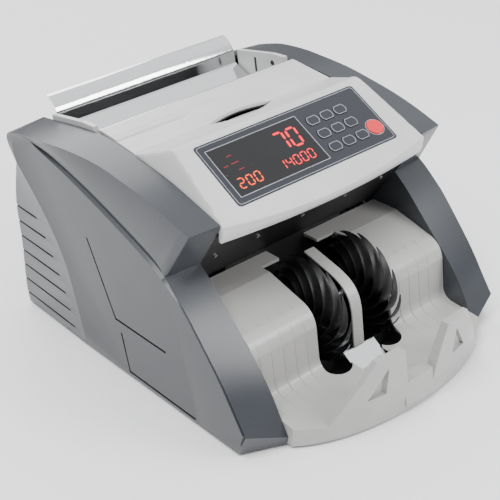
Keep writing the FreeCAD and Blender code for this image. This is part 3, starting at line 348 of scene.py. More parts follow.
def apply_modifier(piece, kind, **settings):
    """Adds a modifier, sets it up and applies it."""
    bpy.ops.object.select_all(action="DESELECT")
    piece.select_set(True)
    bpy.context.view_layer.objects.active = piece
    modifier = piece.modifiers.new(kind.lower(), kind)
    for key, value in settings.items():
        setattr(modifier, key, value)
    bpy.ops.object.modifier_apply(modifier=modifier.name)


def soften(piece, width_mm, segments=2, angle=30.0):
    """Rounds the piece's sharp edges by a small radius."""
    apply_modifier(piece, "BEVEL", width=width_mm * MM, segments=segments, limit_method="ANGLE",
                   angle_limit=math.radians(angle), use_clamp_overlap=True)


def shade(piece, angle=35.0):
    bpy.ops.object.select_all(action="DESELECT")
    piece.select_set(True)
    bpy.context.view_layer.objects.active = piece
    bpy.ops.object.shade_smooth_by_angle(angle=math.radians(angle))


def cut(piece, cutter):
    """Takes the cutter's shape out of the piece, and the cut walls get the cutter's finish."""
    apply_modifier(piece, "BOOLEAN", operation="DIFFERENCE", object=cutter, solver="EXACT",
                   material_mode="TRANSFER")
    bpy.data.objects.remove(cutter)


def join(pieces):
    """Joins pieces into the first of them."""
    bpy.ops.object.select_all(action="DESELECT")
    for piece in pieces:
        piece.select_set(True)
    bpy.context.view_layer.objects.active = pieces[0]
    bpy.ops.object.join()
    return pieces[0]


def mirrored(piece, name):
    """A copy of the piece on the other side of the machine, with its own mesh."""
    twin = piece.copy()
    twin.data = piece.data.copy()
    twin.name = name
    twin.data.name = name
    bpy.context.collection.objects.link(twin)
    twin.data.transform(Matrix.Scale(-1, 4, (1, 0, 0)))
    twin.data.flip_normals()
    return twin


def dress(piece, finish, body, replaced=()):
    """Gives a finished piece its material and the body that it rides on, and hides the CAD parts it replaces.
    """
    if not piece.data.materials:
        piece.data.materials.append(finish)
    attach(piece, body)
    if replaced:
        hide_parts(*replaced)
    print(f"{piece.name}: {len(piece.data.polygons)} faces, rides on {body}")
    return piece


# %% [markdown]
# ## The side covers
# Each side of the machine is one big moulded cover, hollow inside. Seen from the side it is an arch
# whose front arm overhangs the stacker. Its flat outer panel is bounded above by a long curved line,
# where a narrow channel runs down to the toe, and above the channel the surface leans in to the top
# band, which flares out again at the rear. Behind a crease the panel leans in once more, and that part
# carries the seven vents. Five nested rings of corners describe all of that: the inner face, the outer
# silhouette, the channel's upper edge, the channel's bottom and the panel's own edge.

# %% The rings of the left cover
INNER_FACE = -98.5
PANEL_FACE = -130.0
BASE_HEIGHT = 2.0


def at(x, *outline):
    """Points of a side view (y, z) at one distance x from the machine's middle."""
    return [(x, y, z) for y, z in outline]


inner_ring = (
    smooth_run(at(INNER_FACE, (-96.2, 162.7), (-40.5, 179.8), (4.5, 187.7), (52.1, 193), (142, 185)), 28)
    + smooth_run(at(INNER_FACE, (142, 185), (149.5, 179), (151, 170), (146, 155)), 6)
    + smooth_run(at(INNER_FACE, (146, 155), (162, 118), (178, 61), (190, 15), (188.5, BASE_HEIGHT)), 14)
    + straight_run(at(INNER_FACE, (188.5, BASE_HEIGHT), (83, BASE_HEIGHT), (-142.6, BASE_HEIGHT)), 10)
    + straight_run(at(INNER_FACE, (-142.6, BASE_HEIGHT), (-145.5, 9.5)), 2)
    + smooth_run(at(INNER_FACE, (-145.5, 9.5), (-132, 40.3), (-120, 58.6), (-97.8, 84.8), (-76, 110.5),
                    (-64.2, 121.7)), 16)
    + straight_run(at(INNER_FACE, (-64.2, 121.7), (-94.5, 158.5), (-96.2, 162.7)), 5))
outer_ring = (
    smooth_run([(-122, -91.2, 161.2), (-123, -67, 169.6), (-123.4, -42.9, 176.7), (-124.3, -17.5, 182),
                (-125.5, 14.1, 187.4), (-128.6, 52.5, 189.7), (-131, 73.5, 189.9), (-132.5, 95.5, 189.2),
                (-133, 114.5, 187.7), (-131.5, 142, 182.5)], 28)
    + smooth_run([(-131.5, 142, 182.5), (-131, 149, 178), (-130, 151.5, 170), (-127.5, 149.5, 152)], 6)
    + smooth_run(at(-127.5, (149.5, 152), (161, 129), (169, 108), (176.6, 66), (189, 18),
                    (189, BASE_HEIGHT)), 14)
    + straight_run([(-127.5, 189, BASE_HEIGHT), (-129.4, 83, BASE_HEIGHT),
                    (-129.4, -127.6, BASE_HEIGHT)], 10)
    + straight_run(at(-129.4, (-127.6, BASE_HEIGHT), (-137.6, 21.5)), 2)
    + smooth_run(at(-129.0, (-137.6, 21.5), (-129.2, 36), (-118.6, 55), (-101.5, 79.5), (-84, 102.2),
                    (-63, 122.9)), 16)
    + straight_run([(-127.5, -63, 122.9), (-122, -90.6, 159.8), (-122, -91.2, 161.2)], 5))
channel_top = (
    smooth_run(at(-128.6, (-62.2, 124), (-50.4, 136.5), (-31, 146.4), (0.3, 158), (36.5, 167.6),
                  (75.4, 176.3), (116.4, 185.2)), 28)
    + smooth_run(at(-130.4, (116.4, 185.2), (136, 180), (143.6, 171), (143.5, 155.4)), 6)
    + smooth_run(at(-130.0, (143.5, 155.4), (130.6, 140.9), (115, 121.9), (100.6, 99.7), (91.6, 77.1),
                    (87.6, 51.9), (84.9, 26.2), (84, 2.6)), 14)
    + straight_run(at(-129.8, (84, 2.6), (82.5, 2.6), (-127.0, 2.6)), 10)
    + straight_run(at(-129.8, (-127.0, 2.6), (-136.6, 21.7)), 2)
    + smooth_run(at(-128.4, (-136.6, 21.7), (-128.4, 36.5), (-117.8, 55.5), (-100.7, 80), (-83.3, 102.7),
                    (-62.4, 123.2)), 16)
    + straight_run(at(-128.4, (-62.4, 123.2), (-62.3, 123.6), (-62.2, 124)), 5))
channel_floor = (
    smooth_run(at(-127.0, (-60.8, 121.6), (-47.2, 129.6), (-7.4, 145.8), (31, 160), (63.7, 170.7),
                  (96.3, 179.6), (114, 184.9)), 28)
    + smooth_run(at(-130.2, (114, 184.9), (135.2, 179.4), (142.8, 170.6), (142.7, 155)), 6)
    + smooth_run(at(-130.1, (142.7, 155), (130.2, 140.9), (114.5, 121.9), (100.2, 99.7), (91.1, 77.1),
                    (87.1, 51.9), (84.5, 26.2), (83.5, 2.8)), 14)
    + straight_run(at(-129.9, (83.5, 2.8), (82.2, 2.8), (-126.7, 2.8)), 10)
    + straight_run(at(-129.9, (-126.7, 2.8), (-136, 22)), 2)
    + smooth_run(at(-127.2, (-136, 22), (-127.7, 37), (-117.1, 56), (-100, 80.6), (-82.5, 103.4),
                    (-61.4, 121.6)), 16)
    + straight_run(at(-127.2, (-61.4, 121.6), (-61.1, 121.6), (-60.8, 121.6)), 5))
panel_ring = (
    smooth_run(at(PANEL_FACE, (-59.6, 120.2), (-47.2, 127.8), (-8, 144.2), (30.5, 158.4), (63.3, 169.2),
                  (96.1, 178.4), (113.8, 184.2)), 28)
    + smooth_run(at(PANEL_FACE, (113.8, 184.2), (134.5, 178.7), (142, 170), (142, 154.6)), 6)
    + smooth_run(at(PANEL_FACE, (142, 154.6), (129.6, 140.9), (113.9, 121.9), (99.6, 99.7), (90.5, 77.1),
                    (86.5, 51.9), (84, 26.2), (83, 3.2)), 14)
    + straight_run(at(PANEL_FACE, (83, 3.2), (82, 3.2), (-126.2, 3.2)), 10)
    + straight_run(at(PANEL_FACE, (-126.2, 3.2), (-135, 22.4)), 2)
    + smooth_run(at(PANEL_FACE, (-135, 22.4), (-126.8, 37.6), (-116.2, 56.6), (-99, 81.2),
                    (-81.4, 103.6), (-60.2, 120)), 16)
    + straight_run(at(PANEL_FACE, (-60.2, 120), (-59.9, 120.1), (-59.6, 120.2)), 5))
cover_left = loft("side_cover_left_shell", [inner_ring, outer_ring, channel_top, channel_floor, panel_ring])
print("corners in each ring:", [len(r) for r in (inner_ring, outer_ring, channel_top, panel_ring)])

# %% [markdown]
# The seven vents and the two bent accent lines are grooves about 2 mm wide. Each is cut by a thin bar
# with rounded ends, and the bar is black so that the groove's walls come out dark: painted shade
# in the grooves.

# %% Grooves in the left cover
GROOVE_DEPTH = 1.6
GROOVE_WIDTH = 1.9
DEEPER = GROOVE_DEPTH + 0.2
VENT_END = 200.0
VENT_HEIGHTS = (106.8, 91.2, 75.6, 59.8, 44.2, 27.9, 11.9)
VENT_FRONTS = (131.4, 122, 115, 110, 105.5, 103.1, 101)


def groove_bar(start, end, x=PANEL_FACE, depth=GROOVE_DEPTH):
    """A bar whose rounded ends are at two (y, z) points of the cover's face."""
    run = Vector((end[0] - start[0], end[1] - start[1]))
    middle = Vector((x, (start[0] + end[0]) / 2, (start[1] + end[1]) / 2)) * MM
    bpy.ops.object.select_all(action="DESELECT")
    bpy.ops.mesh.primitive_cube_add(size=1, location=middle)
    bar = bpy.context.object
    bar.scale = Vector((2 * depth, run.length + GROOVE_WIDTH, GROOVE_WIDTH)) * MM
    bar.rotation_euler = (math.atan2(run.y, run.x), 0, 0)
    bpy.ops.object.transform_apply(location=True, rotation=True, scale=True)
    soften(bar, GROOVE_WIDTH * 0.45, 3)
    # painted shade: the black bar colours the groove's walls
    bar.data.materials.append(black_abs)
    return bar


cover_left.data.materials.append(grey_paint)
vents = [groove_bar((front, height), (VENT_END, height), x=PANEL_FACE + GROOVE_DEPTH)
         for height, front in zip(VENT_HEIGHTS, VENT_FRONTS)]
accents = [groove_bar((43.1, 118.2), (20.9, 53.8)),
           groove_bar((21.3, 53.9), (-47.4, 53.2), depth=DEEPER),
           groove_bar((15.9, 42.3), (13.6, 6.8)),
           groove_bar((14.0, 6.9), (-75, 6.2), depth=DEEPER)]
for bar in vents + accents:
    cut(cover_left, bar)
shade(cover_left, 28)
dress(cover_left, grey_paint, "chassis", ["side_cover_left"])
cover_right = mirrored(cover_left, "side_cover_right_shell")
dress(cover_right, grey_paint, "chassis", ["side_cover_right"])

# %% [markdown]
# ## The front panel's housing
# The light grey housing slopes up from its bowed lip to a crest and falls away to the feed cover. Its
# flanks lean in. The housing is lofted from slice to slice across the machine: each slice is the same
# bent outline, 2.5 mm thick, whose front follows the bow and whose top is held under the leaning flank.

# %% The panel's slope, which the keypad and the display share
SLOPE = math.radians(32)
SLOPE_UP = Vector((0, math.cos(SLOPE), math.sin(SLOPE)))
SLOPE_NORMAL = Vector((0, -math.sin(SLOPE), math.cos(SLOPE)))
SLOPE_FOOT = Vector((0, -97.0, 162.5))
FILM_START = 7.0
FILM_PROUD = 0.2


def on_film(across, up, rise=0.0):
    """A point of the keypad film: across the machine, up the film and off its surface."""
    return (SLOPE_FOOT + Vector((across, 0, 0)) + SLOPE_UP * (FILM_START + up)
            + SLOPE_NORMAL * (FILM_PROUD + rise))


# %% The housing's slices
HALF_GAP = 98.0
LIP_BOW = 9.0
LIP_FOOT_LEVEL = 147.4
FLANK_LEVEL, FLANK_PITCH, FLANK_RISE = 161.5, 27.5 / 97.5, 2.63
FLANK_START = -97.5
HOUSING_WALL = 2.5
CREST_UP = 66.5
SHOULDER = 2.4
BEHIND_FRONT, BEHIND_REAR = -24.0, 5.0
BEHIND_LEVEL, BEHIND_DROP = 188.0, 7.5
BEHIND_STEPS = 16
RECESS_MIDDLE, RECESS_HALF = 3.5, 30.5
RECESS_DEPTH = 3.8
RECESS_BACK, RECESS_FORWARD = 7.6, 20.0


def recess_share(x):
    """How far the fingertip recess reaches at one distance from the middle, from 0 to 1."""
    return max(1 - ((x - RECESS_MIDDLE) / RECESS_HALF) ** 2, 0.0)


def housing_slice(x):
    """The closed outline of the housing at one distance from the middle."""
    bow = LIP_BOW * (1 - (x / HALF_GAP) ** 2)
    slope_low = -(1.0 + bow / math.cos(SLOPE))
    lip_top = SLOPE_FOOT + SLOPE_UP * slope_low
    lip_foot = Vector((0, lip_top.y + 4.6, LIP_FOOT_LEVEL))
    crest = SLOPE_FOOT + SLOPE_UP * CREST_UP
    inset = HALF_GAP - abs(x)

    def held(point, wall):
        """Holds a point under the leaning flank, with a rounded shoulder where they meet."""
        flank = FLANK_LEVEL + (point.y - FLANK_START) * FLANK_PITCH + FLANK_RISE * inset - wall
        blend = max(SHOULDER - abs(flank - point.z), 0) / SHOULDER
        return Vector((x, point.y, min(flank, point.z) - blend ** 2 * SHOULDER / 4))

    share = recess_share(x)
    rear, recess_front = BEHIND_REAR + RECESS_BACK * share, BEHIND_REAR - RECESS_FORWARD * share
    fall = BEHIND_DROP / (BEHIND_REAR - BEHIND_FRONT)
    behind = []
    for step in range(BEHIND_STEPS):
        y = rear + (BEHIND_FRONT - rear) * step / BEHIND_STEPS
        into = max(y - recess_front, 0) / max(rear - recess_front, 0.1)
        dip = (1 - (1 - into) ** 1.5) * RECESS_DEPTH * min(2 * share, 1)
        behind.append(Vector((0, y, BEHIND_LEVEL - (y - BEHIND_REAR) * fall - dip)))
    rear_foot = Vector((0, rear, behind[0].z - HOUSING_WALL))

    outer = (behind
             + smooth_run([(0, BEHIND_FRONT, 195.5), (0, -29, 197.6), (0, -35.5, 198.9),
                           crest - SLOPE_UP * 4], 8)
             + straight_run([crest - SLOPE_UP * 4, lip_top + SLOPE_UP * 2.0], 12)
             + smooth_run([lip_top + SLOPE_UP * 2.0, lip_top + Vector((0, -0.3, -0.7)),
                           lip_top + Vector((0, 0.3, -2.8))], 6)
             + smooth_run([lip_top + Vector((0, 0.3, -2.8)), (lip_top + lip_foot) / 2 + Vector((0, -0.9, -1)),
                           lip_foot], 6))
    wall = -SLOPE_NORMAL * HOUSING_WALL
    inner = (straight_run([lip_foot, lip_foot + Vector((0, 2.4, 0.6))], 2)
             + straight_run([lip_foot + Vector((0, 2.4, 0.6)), lip_top + SLOPE_UP * 4 + wall], 4)
             + straight_run([lip_top + SLOPE_UP * 4 + wall, crest - SLOPE_UP * 4 + wall * 1.4,
                             Vector((0, BEHIND_FRONT, 191.0)), rear_foot, behind[0]], 20))
    return [held(p, 0.0) for p in outer] + [held(p, HOUSING_WALL) for p in inner]


edge_steps = [0, 0.6, 1.5, 3, 4, 5, 6, 7, 8, 9, 10, 11, 12.5, 14, 16, 19, 28, 42, 56]
recess_steps = [RECESS_MIDDLE + RECESS_HALF * math.sin(math.radians(a)) for a in range(-90, 91, 10)]
slices = ([-HALF_GAP + step for step in edge_steps] + recess_steps
          + [HALF_GAP - step for step in edge_steps[::-1]])
housing = loft("front_panel_housing", [housing_slice(x) for x in slices])
soften(housing, 0.5, 2, 50)

# %% A hole under the film, where the keys travel
KEY_HOLE = ((17.0, 9.0), (75.0, 9.0), (75.0, 47.0), (17.0, 47.0))
KEY_HOLE_LOW, KEY_HOLE_HIGH = -6.0, 2.0
key_hole = loft("key_hole", [[on_film(*corner, rise) for corner in KEY_HOLE]
                             for rise in (KEY_HOLE_LOW, KEY_HOLE_HIGH)])
key_hole.data.materials.append(light_abs)
housing.data.materials.append(light_abs)
cut(housing, key_hole)
shade(housing, 32)
dress(housing, light_abs, "chassis", ["front_panel"])

# %% [markdown]
# ## The keypad film
# The film's printing is what makes it read as a keypad: a fine pale line runs round it, another round
# the display, and each key is a barrel-shaped outline. Printed ink stands proud by a few hundredths of
# a millimetre, and here each line is a thin raised strip, lofted round its own path.

# %% A strip along a closed path
def strip(name, path, width, height, base=0.0):
    """A closed raised line: path holds (across, up) points of the film, anticlockwise."""
    count = len(path)
    inside = []
    for i in range(count):
        before, here, after = Vector(path[i - 1]), Vector(path[i]), Vector(path[(i + 1) % count])
        way = ((here - before).normalized() + (after - here).normalized()).normalized()
        inside.append(here + Vector((-way.y, way.x)) * width)
    low = [on_film(*p, base) for p in path]
    high = [on_film(*p, base + height) for p in path]
    high_inside = [on_film(*p, base + height) for p in inside]
    low_inside = [on_film(*p, base) for p in inside]
    return loft(name, [low, high, high_inside, low_inside, low], caps=(False, False))


def round_rectangle(left, right, low, high, radius, steps=5):
    """Points of a rectangle with rounded corners, anticlockwise."""
    corners = []
    for (x, y), start in (((right - radius, low + radius), -90), ((right - radius, high - radius), 0),
                          ((left + radius, high - radius), 90), ((left + radius, low + radius), 180)):
        for step in range(steps + 1):
            angle = math.radians(start + 90 * step / steps)
            corners.append((x + radius * math.cos(angle), y + radius * math.sin(angle)))
    return corners


# %% The film's border, the display's border and the keys
FILM_HALF, FILM_DEPTH = 77.2, 58.4
WINDOW_LEFT, WINDOW_RIGHT, WINDOW_LOW, WINDOW_HIGH = -70.3, 12.7, 7.2, 51.2
KEY_COLUMNS = (24.2, 37.8, 51.4)
KEY_ROWS = (14.0, 27.9, 41.8)
KEY_PROUD = 0.6
START_PLACE, START_RADIUS, START_PROUD = (66.2, 15.8), 6.9, 1.0
INK_HEIGHT = 0.06

borders = [strip("film_border_line", round_rectangle(-FILM_HALF + 1.5, FILM_HALF - 1.5, 1.4,
                                                     FILM_DEPTH - 1.4, 2.6), 0.45, INK_HEIGHT),
           strip("display_border_line", round_rectangle(WINDOW_LEFT - 0.7, WINDOW_RIGHT + 0.7,
                                                        WINDOW_LOW - 0.7, WINDOW_HIGH + 0.7, 0.8), 0.55,
                 INK_HEIGHT)]
dress(join(borders), pale_ink, "chassis")


def barrel(across, up, half_wide=5.5, half_deep=4.0):
    """A key's outline: a rectangle with bowed sides and clipped corners."""
    points = []
    for side, low, high in ((1, -1, 1), (-1, 1, -1)):
        for step in range(7):
            t = low + (high - low) * step / 6
            points.append((across + side * (half_wide - 1.7 * abs(t) ** 2.2),
                           up + half_deep * t * (1.0 if abs(t) > 0.9 else 0.97)))
    return points


for row, up in enumerate(KEY_ROWS):
    for column, across in enumerate(KEY_COLUMNS):
        number = row * 3 + column + 1
        outline = strip(f"key_{number}_outline", barrel(across, up), 0.5, INK_HEIGHT, KEY_PROUD)
        dress(outline, pale_ink, f"key_{number}_cap")

ring = [(START_PLACE[0] + (START_RADIUS + 0.9) * math.cos(math.tau * i / 40),
         START_PLACE[1] + (START_RADIUS + 0.9) * math.sin(math.tau * i / 40)) for i in range(40)]
dress(strip("start_button_ring", ring, 0.5, INK_HEIGHT), pale_ink, "chassis")

# %% [markdown]
# ## The lit digits
# The display is a row of seven-segment LED digits behind tinted acrylic. Each lit segment is a thin
# six-cornered bar, leaning with the digit, and it glows a little. The big and the small counts are red,
# and the batch size is orange.

# %% Seven-segment digits
def glowing(name, colour, strength):
    material, _, shader = new_finish(name, colour, 0.5)
    shader.inputs["Emission Color"].default_value = srgb(colour)
    shader.inputs["Emission Strength"].default_value = strength
    return material


red_led = glowing("lit_red_led", "#f00828", 0.75)
orange_led = glowing("lit_orange_led", "#f04a08", 0.75)
dim_led = glowing("dim_red_led", "#70101a", 0.4)
SEGMENTS = {"0": "abcdef", "1": "bc", "2": "abged", "4": "fgbc", "7": "abc"}
SEGMENT_ENDS = {"a": ((0, 2), (1, 2)), "b": ((1, 2), (1, 1)), "c": ((1, 1), (1, 0)), "d": ((0, 0), (1, 0)),
                "e": ((0, 1), (0, 0)), "f": ((0, 2), (0, 1)), "g": ((0, 1), (1, 1))}
SEGMENT_LOW, SEGMENT_HIGH = 0.01, 0.07
SEGMENT_GAP = 0.32


def segment_bar(start, end, thick, gap):
    """One six-cornered bar between two (across, up) points."""
    start, end = Vector(start), Vector(end)
    way = (end - start).normalized()
    side = Vector((-way.y, way.x)) * thick / 2
    start, end = start + way * gap, end - way * gap
    flat = [start, start + way * thick / 2 - side, end - way * thick / 2 - side, end,
            end - way * thick / 2 + side, start + way * thick / 2 + side]
    return loft("segment", [[on_film(*p, rise) for p in flat] for rise in (SEGMENT_LOW, SEGMENT_HIGH)])


def number(name, text, left, low, width, height, pitch, thick, finish, lean=0.1):
    """A number whose first digit's lower left corner is at (left, low) on the film."""
    bars = []
    for place, character in enumerate(text):
        for letter in SEGMENTS[character]:
            ends = []
            for a, b in SEGMENT_ENDS[letter]:
                up = b * height / 2
                ends.append((left + place * pitch + a * width + lean * up, low + up))
            bars.append(segment_bar(*ends, thick, thick * SEGMENT_GAP))
    return dress(join(bars), finish, "chassis")


for bars in (number("count_digits", "70", -16.5, 27.4, 8.2, 16.2, 12.2, 1.9, red_led),
             number("total_digits", "14000", -27.6, 12.8, 4.4, 8.2, 6.9, 1.0, red_led),
             number("batch_digits", "200", -65.2, 12.6, 4.6, 8.6, 7.4, 1.05, orange_led)):
    print(bars.name, "has", len(bars.data.polygons), "faces")

# %% The small indicators, as short dashes of light
indicators = []
for left, low, long in ((-59.4, 40.6, 5.4), (-66.5, 33.2, 4.6), (-59.8, 33.6, 7.6), (-57.6, 27.0, 5.6),
                        (-69.0, 26.2, 1.2), (-46.9, 27.0, 1.0)):
    indicators.append(segment_bar((left, low + 0.7), (left + long, low + 0.9), 0.9, 0.1))
indicators = join(indicators)
indicators.name = "indicator_lamps"
dress(indicators, dim_led, "chassis")

# %% [markdown]
# ## The feed cover
# The hinged cover over the feed rollers is a light moulding as wide as the housing. Its rear part stands
# a little higher than the front, and that step fades out towards the middle. Its front edge curves back
# round the housing's recess, so that a fingertip can lift it. Like the housing, it is lofted from slices.

# %% The cover, its step and its sliver
COVER_HALF = 97.0
COVER_REAR = 52.0
COVER_FRONT, RECESS_REACH = 5.8, 6.8
COVER_LEVEL, COVER_PITCH = 188.0, 0.161
STEP_START, STEP_FADE = -28.0, 14.0
STEP_HEIGHT, STEP_GROOVE = 0.7, 0.9
SLIVER_MIDDLE, SLIVER_HALF, SLIVER_DEEP = -4.5, 14.0, 0.8


def cover_front(x):
    """Where the cover's front edge lies at one distance from the middle."""
    return COVER_FRONT + RECESS_REACH * recess_share(x)


def cover_level(y):
    """How high the cover's top stands at one distance along the machine."""
    return COVER_LEVEL + (y - 5.6) * COVER_PITCH


def cover_slice(x):
    """The closed outline of the feed cover at one distance from the middle."""
    step = min(max((STEP_START - x) / STEP_FADE, 0.0), 1.0)
    sliver = max(1 - ((x - SLIVER_MIDDLE) / SLIVER_HALF) ** 2, 0.0)
    front = cover_front(x)
    groove = STEP_GROOVE * step
    rise = STEP_HEIGHT * step
    dent = rise - SLIVER_DEEP * sliver
    top = [(front, cover_level(front) - 0.5), (front + 0.5, cover_level(front)), (20, cover_level(20)),
           (27.6, cover_level(27.6)), (27.9, cover_level(27.9) - groove), (28.5, cover_level(28.5) - groove),
           (28.8, cover_level(28.8) + rise), (33.2, cover_level(33.2) + rise),
           (35 - 0.9 * sliver, cover_level(34) + dent), (35.3, cover_level(35.3) + dent),
           (35.6 + 0.8 * sliver, cover_level(36) + rise * 0.9), (50.6, 195.3), (51.8, 195.1),
           (COVER_REAR, 194.4)]
    low = [(COVER_REAR, 192.4), (30, 188.8), (front + 2, 185.8), (front, 185.6)]
    return [Vector((x, y, z)) for y, z in top + low]


cover_places = sorted([-COVER_HALF, -96.4, -90, -75, -60, -46, -42, -39, -36, -33, -30, -28, 50, 70, 90,
                       96.4, COVER_HALF] + recess_steps)
feed_cover = loft("feed_cover_moulding", [cover_slice(x) for x in cover_places])
soften(feed_cover, 0.25, 2, 50)
shade(feed_cover, 32)
dress(feed_cover, light_abs, "feed_flap", ["feed_cover"])

# %% A black strip along the cover's front edge, sunk deeper at the recess: painted shadow in the seam
SHADOW_STRIP_THICK = 0.35
SHADOW_STRIP_LOW, SHADOW_STRIP_HIGH = 1.6, 0.45
SHADOW_STRIP_SINK = 2.6
shadow_strip_rings = []
for x in cover_places:
    rear = cover_front(x)
    front, middle = rear - SHADOW_STRIP_THICK, rear - SHADOW_STRIP_THICK / 2
    level = cover_level(middle) - SHADOW_STRIP_SINK * min(3 * recess_share(x), 1)
    low, high = level - SHADOW_STRIP_LOW, level - SHADOW_STRIP_HIGH
    shadow_strip_rings.append([Vector((x, front, low)), Vector((x, rear, low)), Vector((x, rear, high)),
                       Vector((x, front, high))])
# painted shadow: a black strip standing in for the shadow in the seam
dress(loft("feed_cover_painted_shadow_strip", shadow_strip_rings), black_rubber, "feed_flap")

# %% [markdown]
# ## Inside the hopper
# The hopper's front wall has a black sheet behind the steel guide, painted shade, so that the polished
# back plate mirrors something dark. Each light side wall carries a screw, and a black patch where its
# guide slot is, painted shade in the slot.

# %% The painted shade sheet, the painted shade of the slots and the screws of the hopper
SHADE_SHEET_HALF = 91.0
SHADE_SHEET_OUTLINE = ((63.0, 153.0), (63.8, 153.0), (63.8, 185.4), (63.4, 185.9), (63.0, 185.4))
# painted shade: a black sheet for the polished plate to mirror
painted_shade_sheet = loft("hopper_front_painted_shade_sheet", [[Vector((x, y, z)) for y, z in SHADE_SHEET_OUTLINE]
                                      for x in (-SHADE_SHEET_HALF, SHADE_SHEET_HALF)])
shade(painted_shade_sheet, 40)
dress(painted_shade_sheet, black_abs, "chassis")


ROUND_SIDES = 24


def round_bar(name, radii, centre, axis):
    """A turned piece: radii holds (distance along the axis, radius) from its start."""
    turn = Vector((0, 0, 1)).rotation_difference(Vector(axis))
    rings = []
    for along, radius in radii:
        rings.append([Vector(centre) + turn @ Vector((radius * math.cos(math.tau * i / ROUND_SIDES),
                                                      radius * math.sin(math.tau * i / ROUND_SIDES), along))
                      for i in range(ROUND_SIDES)])
    return loft(name, rings)


WALL_INSIDE = 93.9
SLOT_MIDDLE, SLOT_HALF_WIDE, SLOT_HALF_HIGH, SLOT_PROUD = (100, 182), 1.3, 6.5, 0.25
SLOT_CORNERS = ((-1, -1), (1, -1), (1, 1), (-1, 1))
WALL_SCREW_PLACE = (76, 188)
screws_and_slot_shade = []
for side in (LEFT, RIGHT):
    wall_face = side * WALL_INSIDE
    # painted shade: a black patch, standing proud of the wall, where the guide slot is
    screws_and_slot_shade.append(loft("slot_painted_shade", [[Vector((x, SLOT_MIDDLE[0] + wide * SLOT_HALF_WIDE,
                                                SLOT_MIDDLE[1] + high * SLOT_HALF_HIGH))
                                        for wide, high in SLOT_CORNERS]
                                       for x in (wall_face, wall_face - side * SLOT_PROUD)]))
    screws_and_slot_shade.append(round_bar("wall_screw", [(0, 2.2), (0.5, 2.1), (0.8, 1.6), (0.4, 1.1), (0.4, 0.4)],
                              (wall_face, *WALL_SCREW_PLACE), (-side, 0, 0)))
screws_and_slot_shade = join(screws_and_slot_shade)
screws_and_slot_shade.name = "hopper_wall_screws_and_slot_shade"
shade(screws_and_slot_shade, 35)
dress(screws_and_slot_shade, black_abs, "chassis")

# %% [markdown]
# ## The stacker wheels
# Each wheel is a hub with thirteen long flexible leaves. A banknote slides between two leaves as the
# wheel turns, and the leaf lays it on the stack. A leaf winds out from the hub along a spiral that ends
# almost level with the rim. One edge is cut back further and further, so that the leaf ends in a point
# and the edges of its neighbours show beside it like a fan. One leaf is lofted along the spiral, and the
# others are copies of it, turned about the hub.

# %% One leaf, then the whole wheel
WHEEL_CENTRE = Vector((0, -85.5, 55.0))
WHEEL_RADIUS, HUB_RADIUS = 44.0, 13.0
LEAF_COUNT, LEAF_SWEEP, LEAF_THICKNESS = 13, 118.0, 0.9
LEAF_TAPER = 1.8
LEAF_THINNING = 0.4
LEAF_CURL = 1.55
LEAF_ROOT = 0.6
LEAF_TIP = 0.8
LEAF_STATIONS = 18
HUB_SIDES, HUB_LIP, HUB_BORE = 40, 4.0, 4.06


def wheel(name, low_x, high_x):
    """A hub and its leaves between two distances from the middle."""
    stations = []
    for step in range(LEAF_STATIONS + 1):
        share = step / LEAF_STATIONS
        radius = WHEEL_RADIUS - (WHEEL_RADIUS - HUB_RADIUS + LEAF_ROOT) * (1 - share) ** LEAF_CURL
        angle = math.radians(180 - LEAF_SWEEP * share)
        left = low_x + (high_x - low_x - LEAF_TIP) * share ** LEAF_TAPER
        thick = LEAF_THICKNESS * (1 - LEAF_THINNING * share)
        out = Vector((0, math.cos(angle), math.sin(angle)))
        outer, inner = WHEEL_CENTRE + out * radius, WHEEL_CENTRE + out * (radius - thick)
        stations.append([outer + Vector((left, 0, 0)), outer + Vector((high_x, 0, 0)),
                         inner + Vector((high_x, 0, 0)), inner + Vector((left, 0, 0))])
    leaf = loft("leaf", stations)
    leaves = [leaf]
    for index in range(1, LEAF_COUNT):
        twin = leaf.copy()
        twin.data = leaf.data.copy()
        bpy.context.collection.objects.link(twin)
        twin.data.transform(Matrix.Translation(WHEEL_CENTRE * MM)
                            @ Matrix.Rotation(math.tau * index / LEAF_COUNT, 4, "X")
                            @ Matrix.Translation(-WHEEL_CENTRE * MM))
        leaves.append(twin)
    rim = [(low_x - 0.2, HUB_RADIUS - HUB_LIP), (low_x - 0.2, HUB_RADIUS - 0.6),
           (low_x + 0.4, HUB_RADIUS), (high_x - 0.4, HUB_RADIUS), (high_x + 0.2, HUB_RADIUS - 0.6),
           (high_x + 0.2, HUB_RADIUS - HUB_LIP), (high_x - 2, HUB_RADIUS - HUB_LIP - 0.6),
           (high_x - 2, HUB_BORE)]
    hub = loft("hub", [[WHEEL_CENTRE + Vector((x, radius * math.cos(math.tau * i / HUB_SIDES),
                                               radius * math.sin(math.tau * i / HUB_SIDES)))
                        for i in range(HUB_SIDES)] for x, radius in rim], caps=(True, False))
    whole = join([hub] + leaves)
    whole.name = name
    shade(whole, 35)
    return whole


for name, low_x, high_x in (("stacker_wheel_right", 17.0, 35.0), ("stacker_wheel_left", -35.0, -17.0)):
    dress(wheel(name + "_leaves", low_x, high_x), glossy_black_abs, "stacker_drive",
          [name])

# %% [markdown]
# ## The strip, the note deflector and the painted shade wells
# A smooth plastic strip comes down between the wheels, held by a dark screw near its foot. Below it a
# polished steel sheet, rolled over at its upper edge, slopes down to the stacker's floor. The two slots
# that the wheels turn in are lined with black wells, painted shade in the slots.

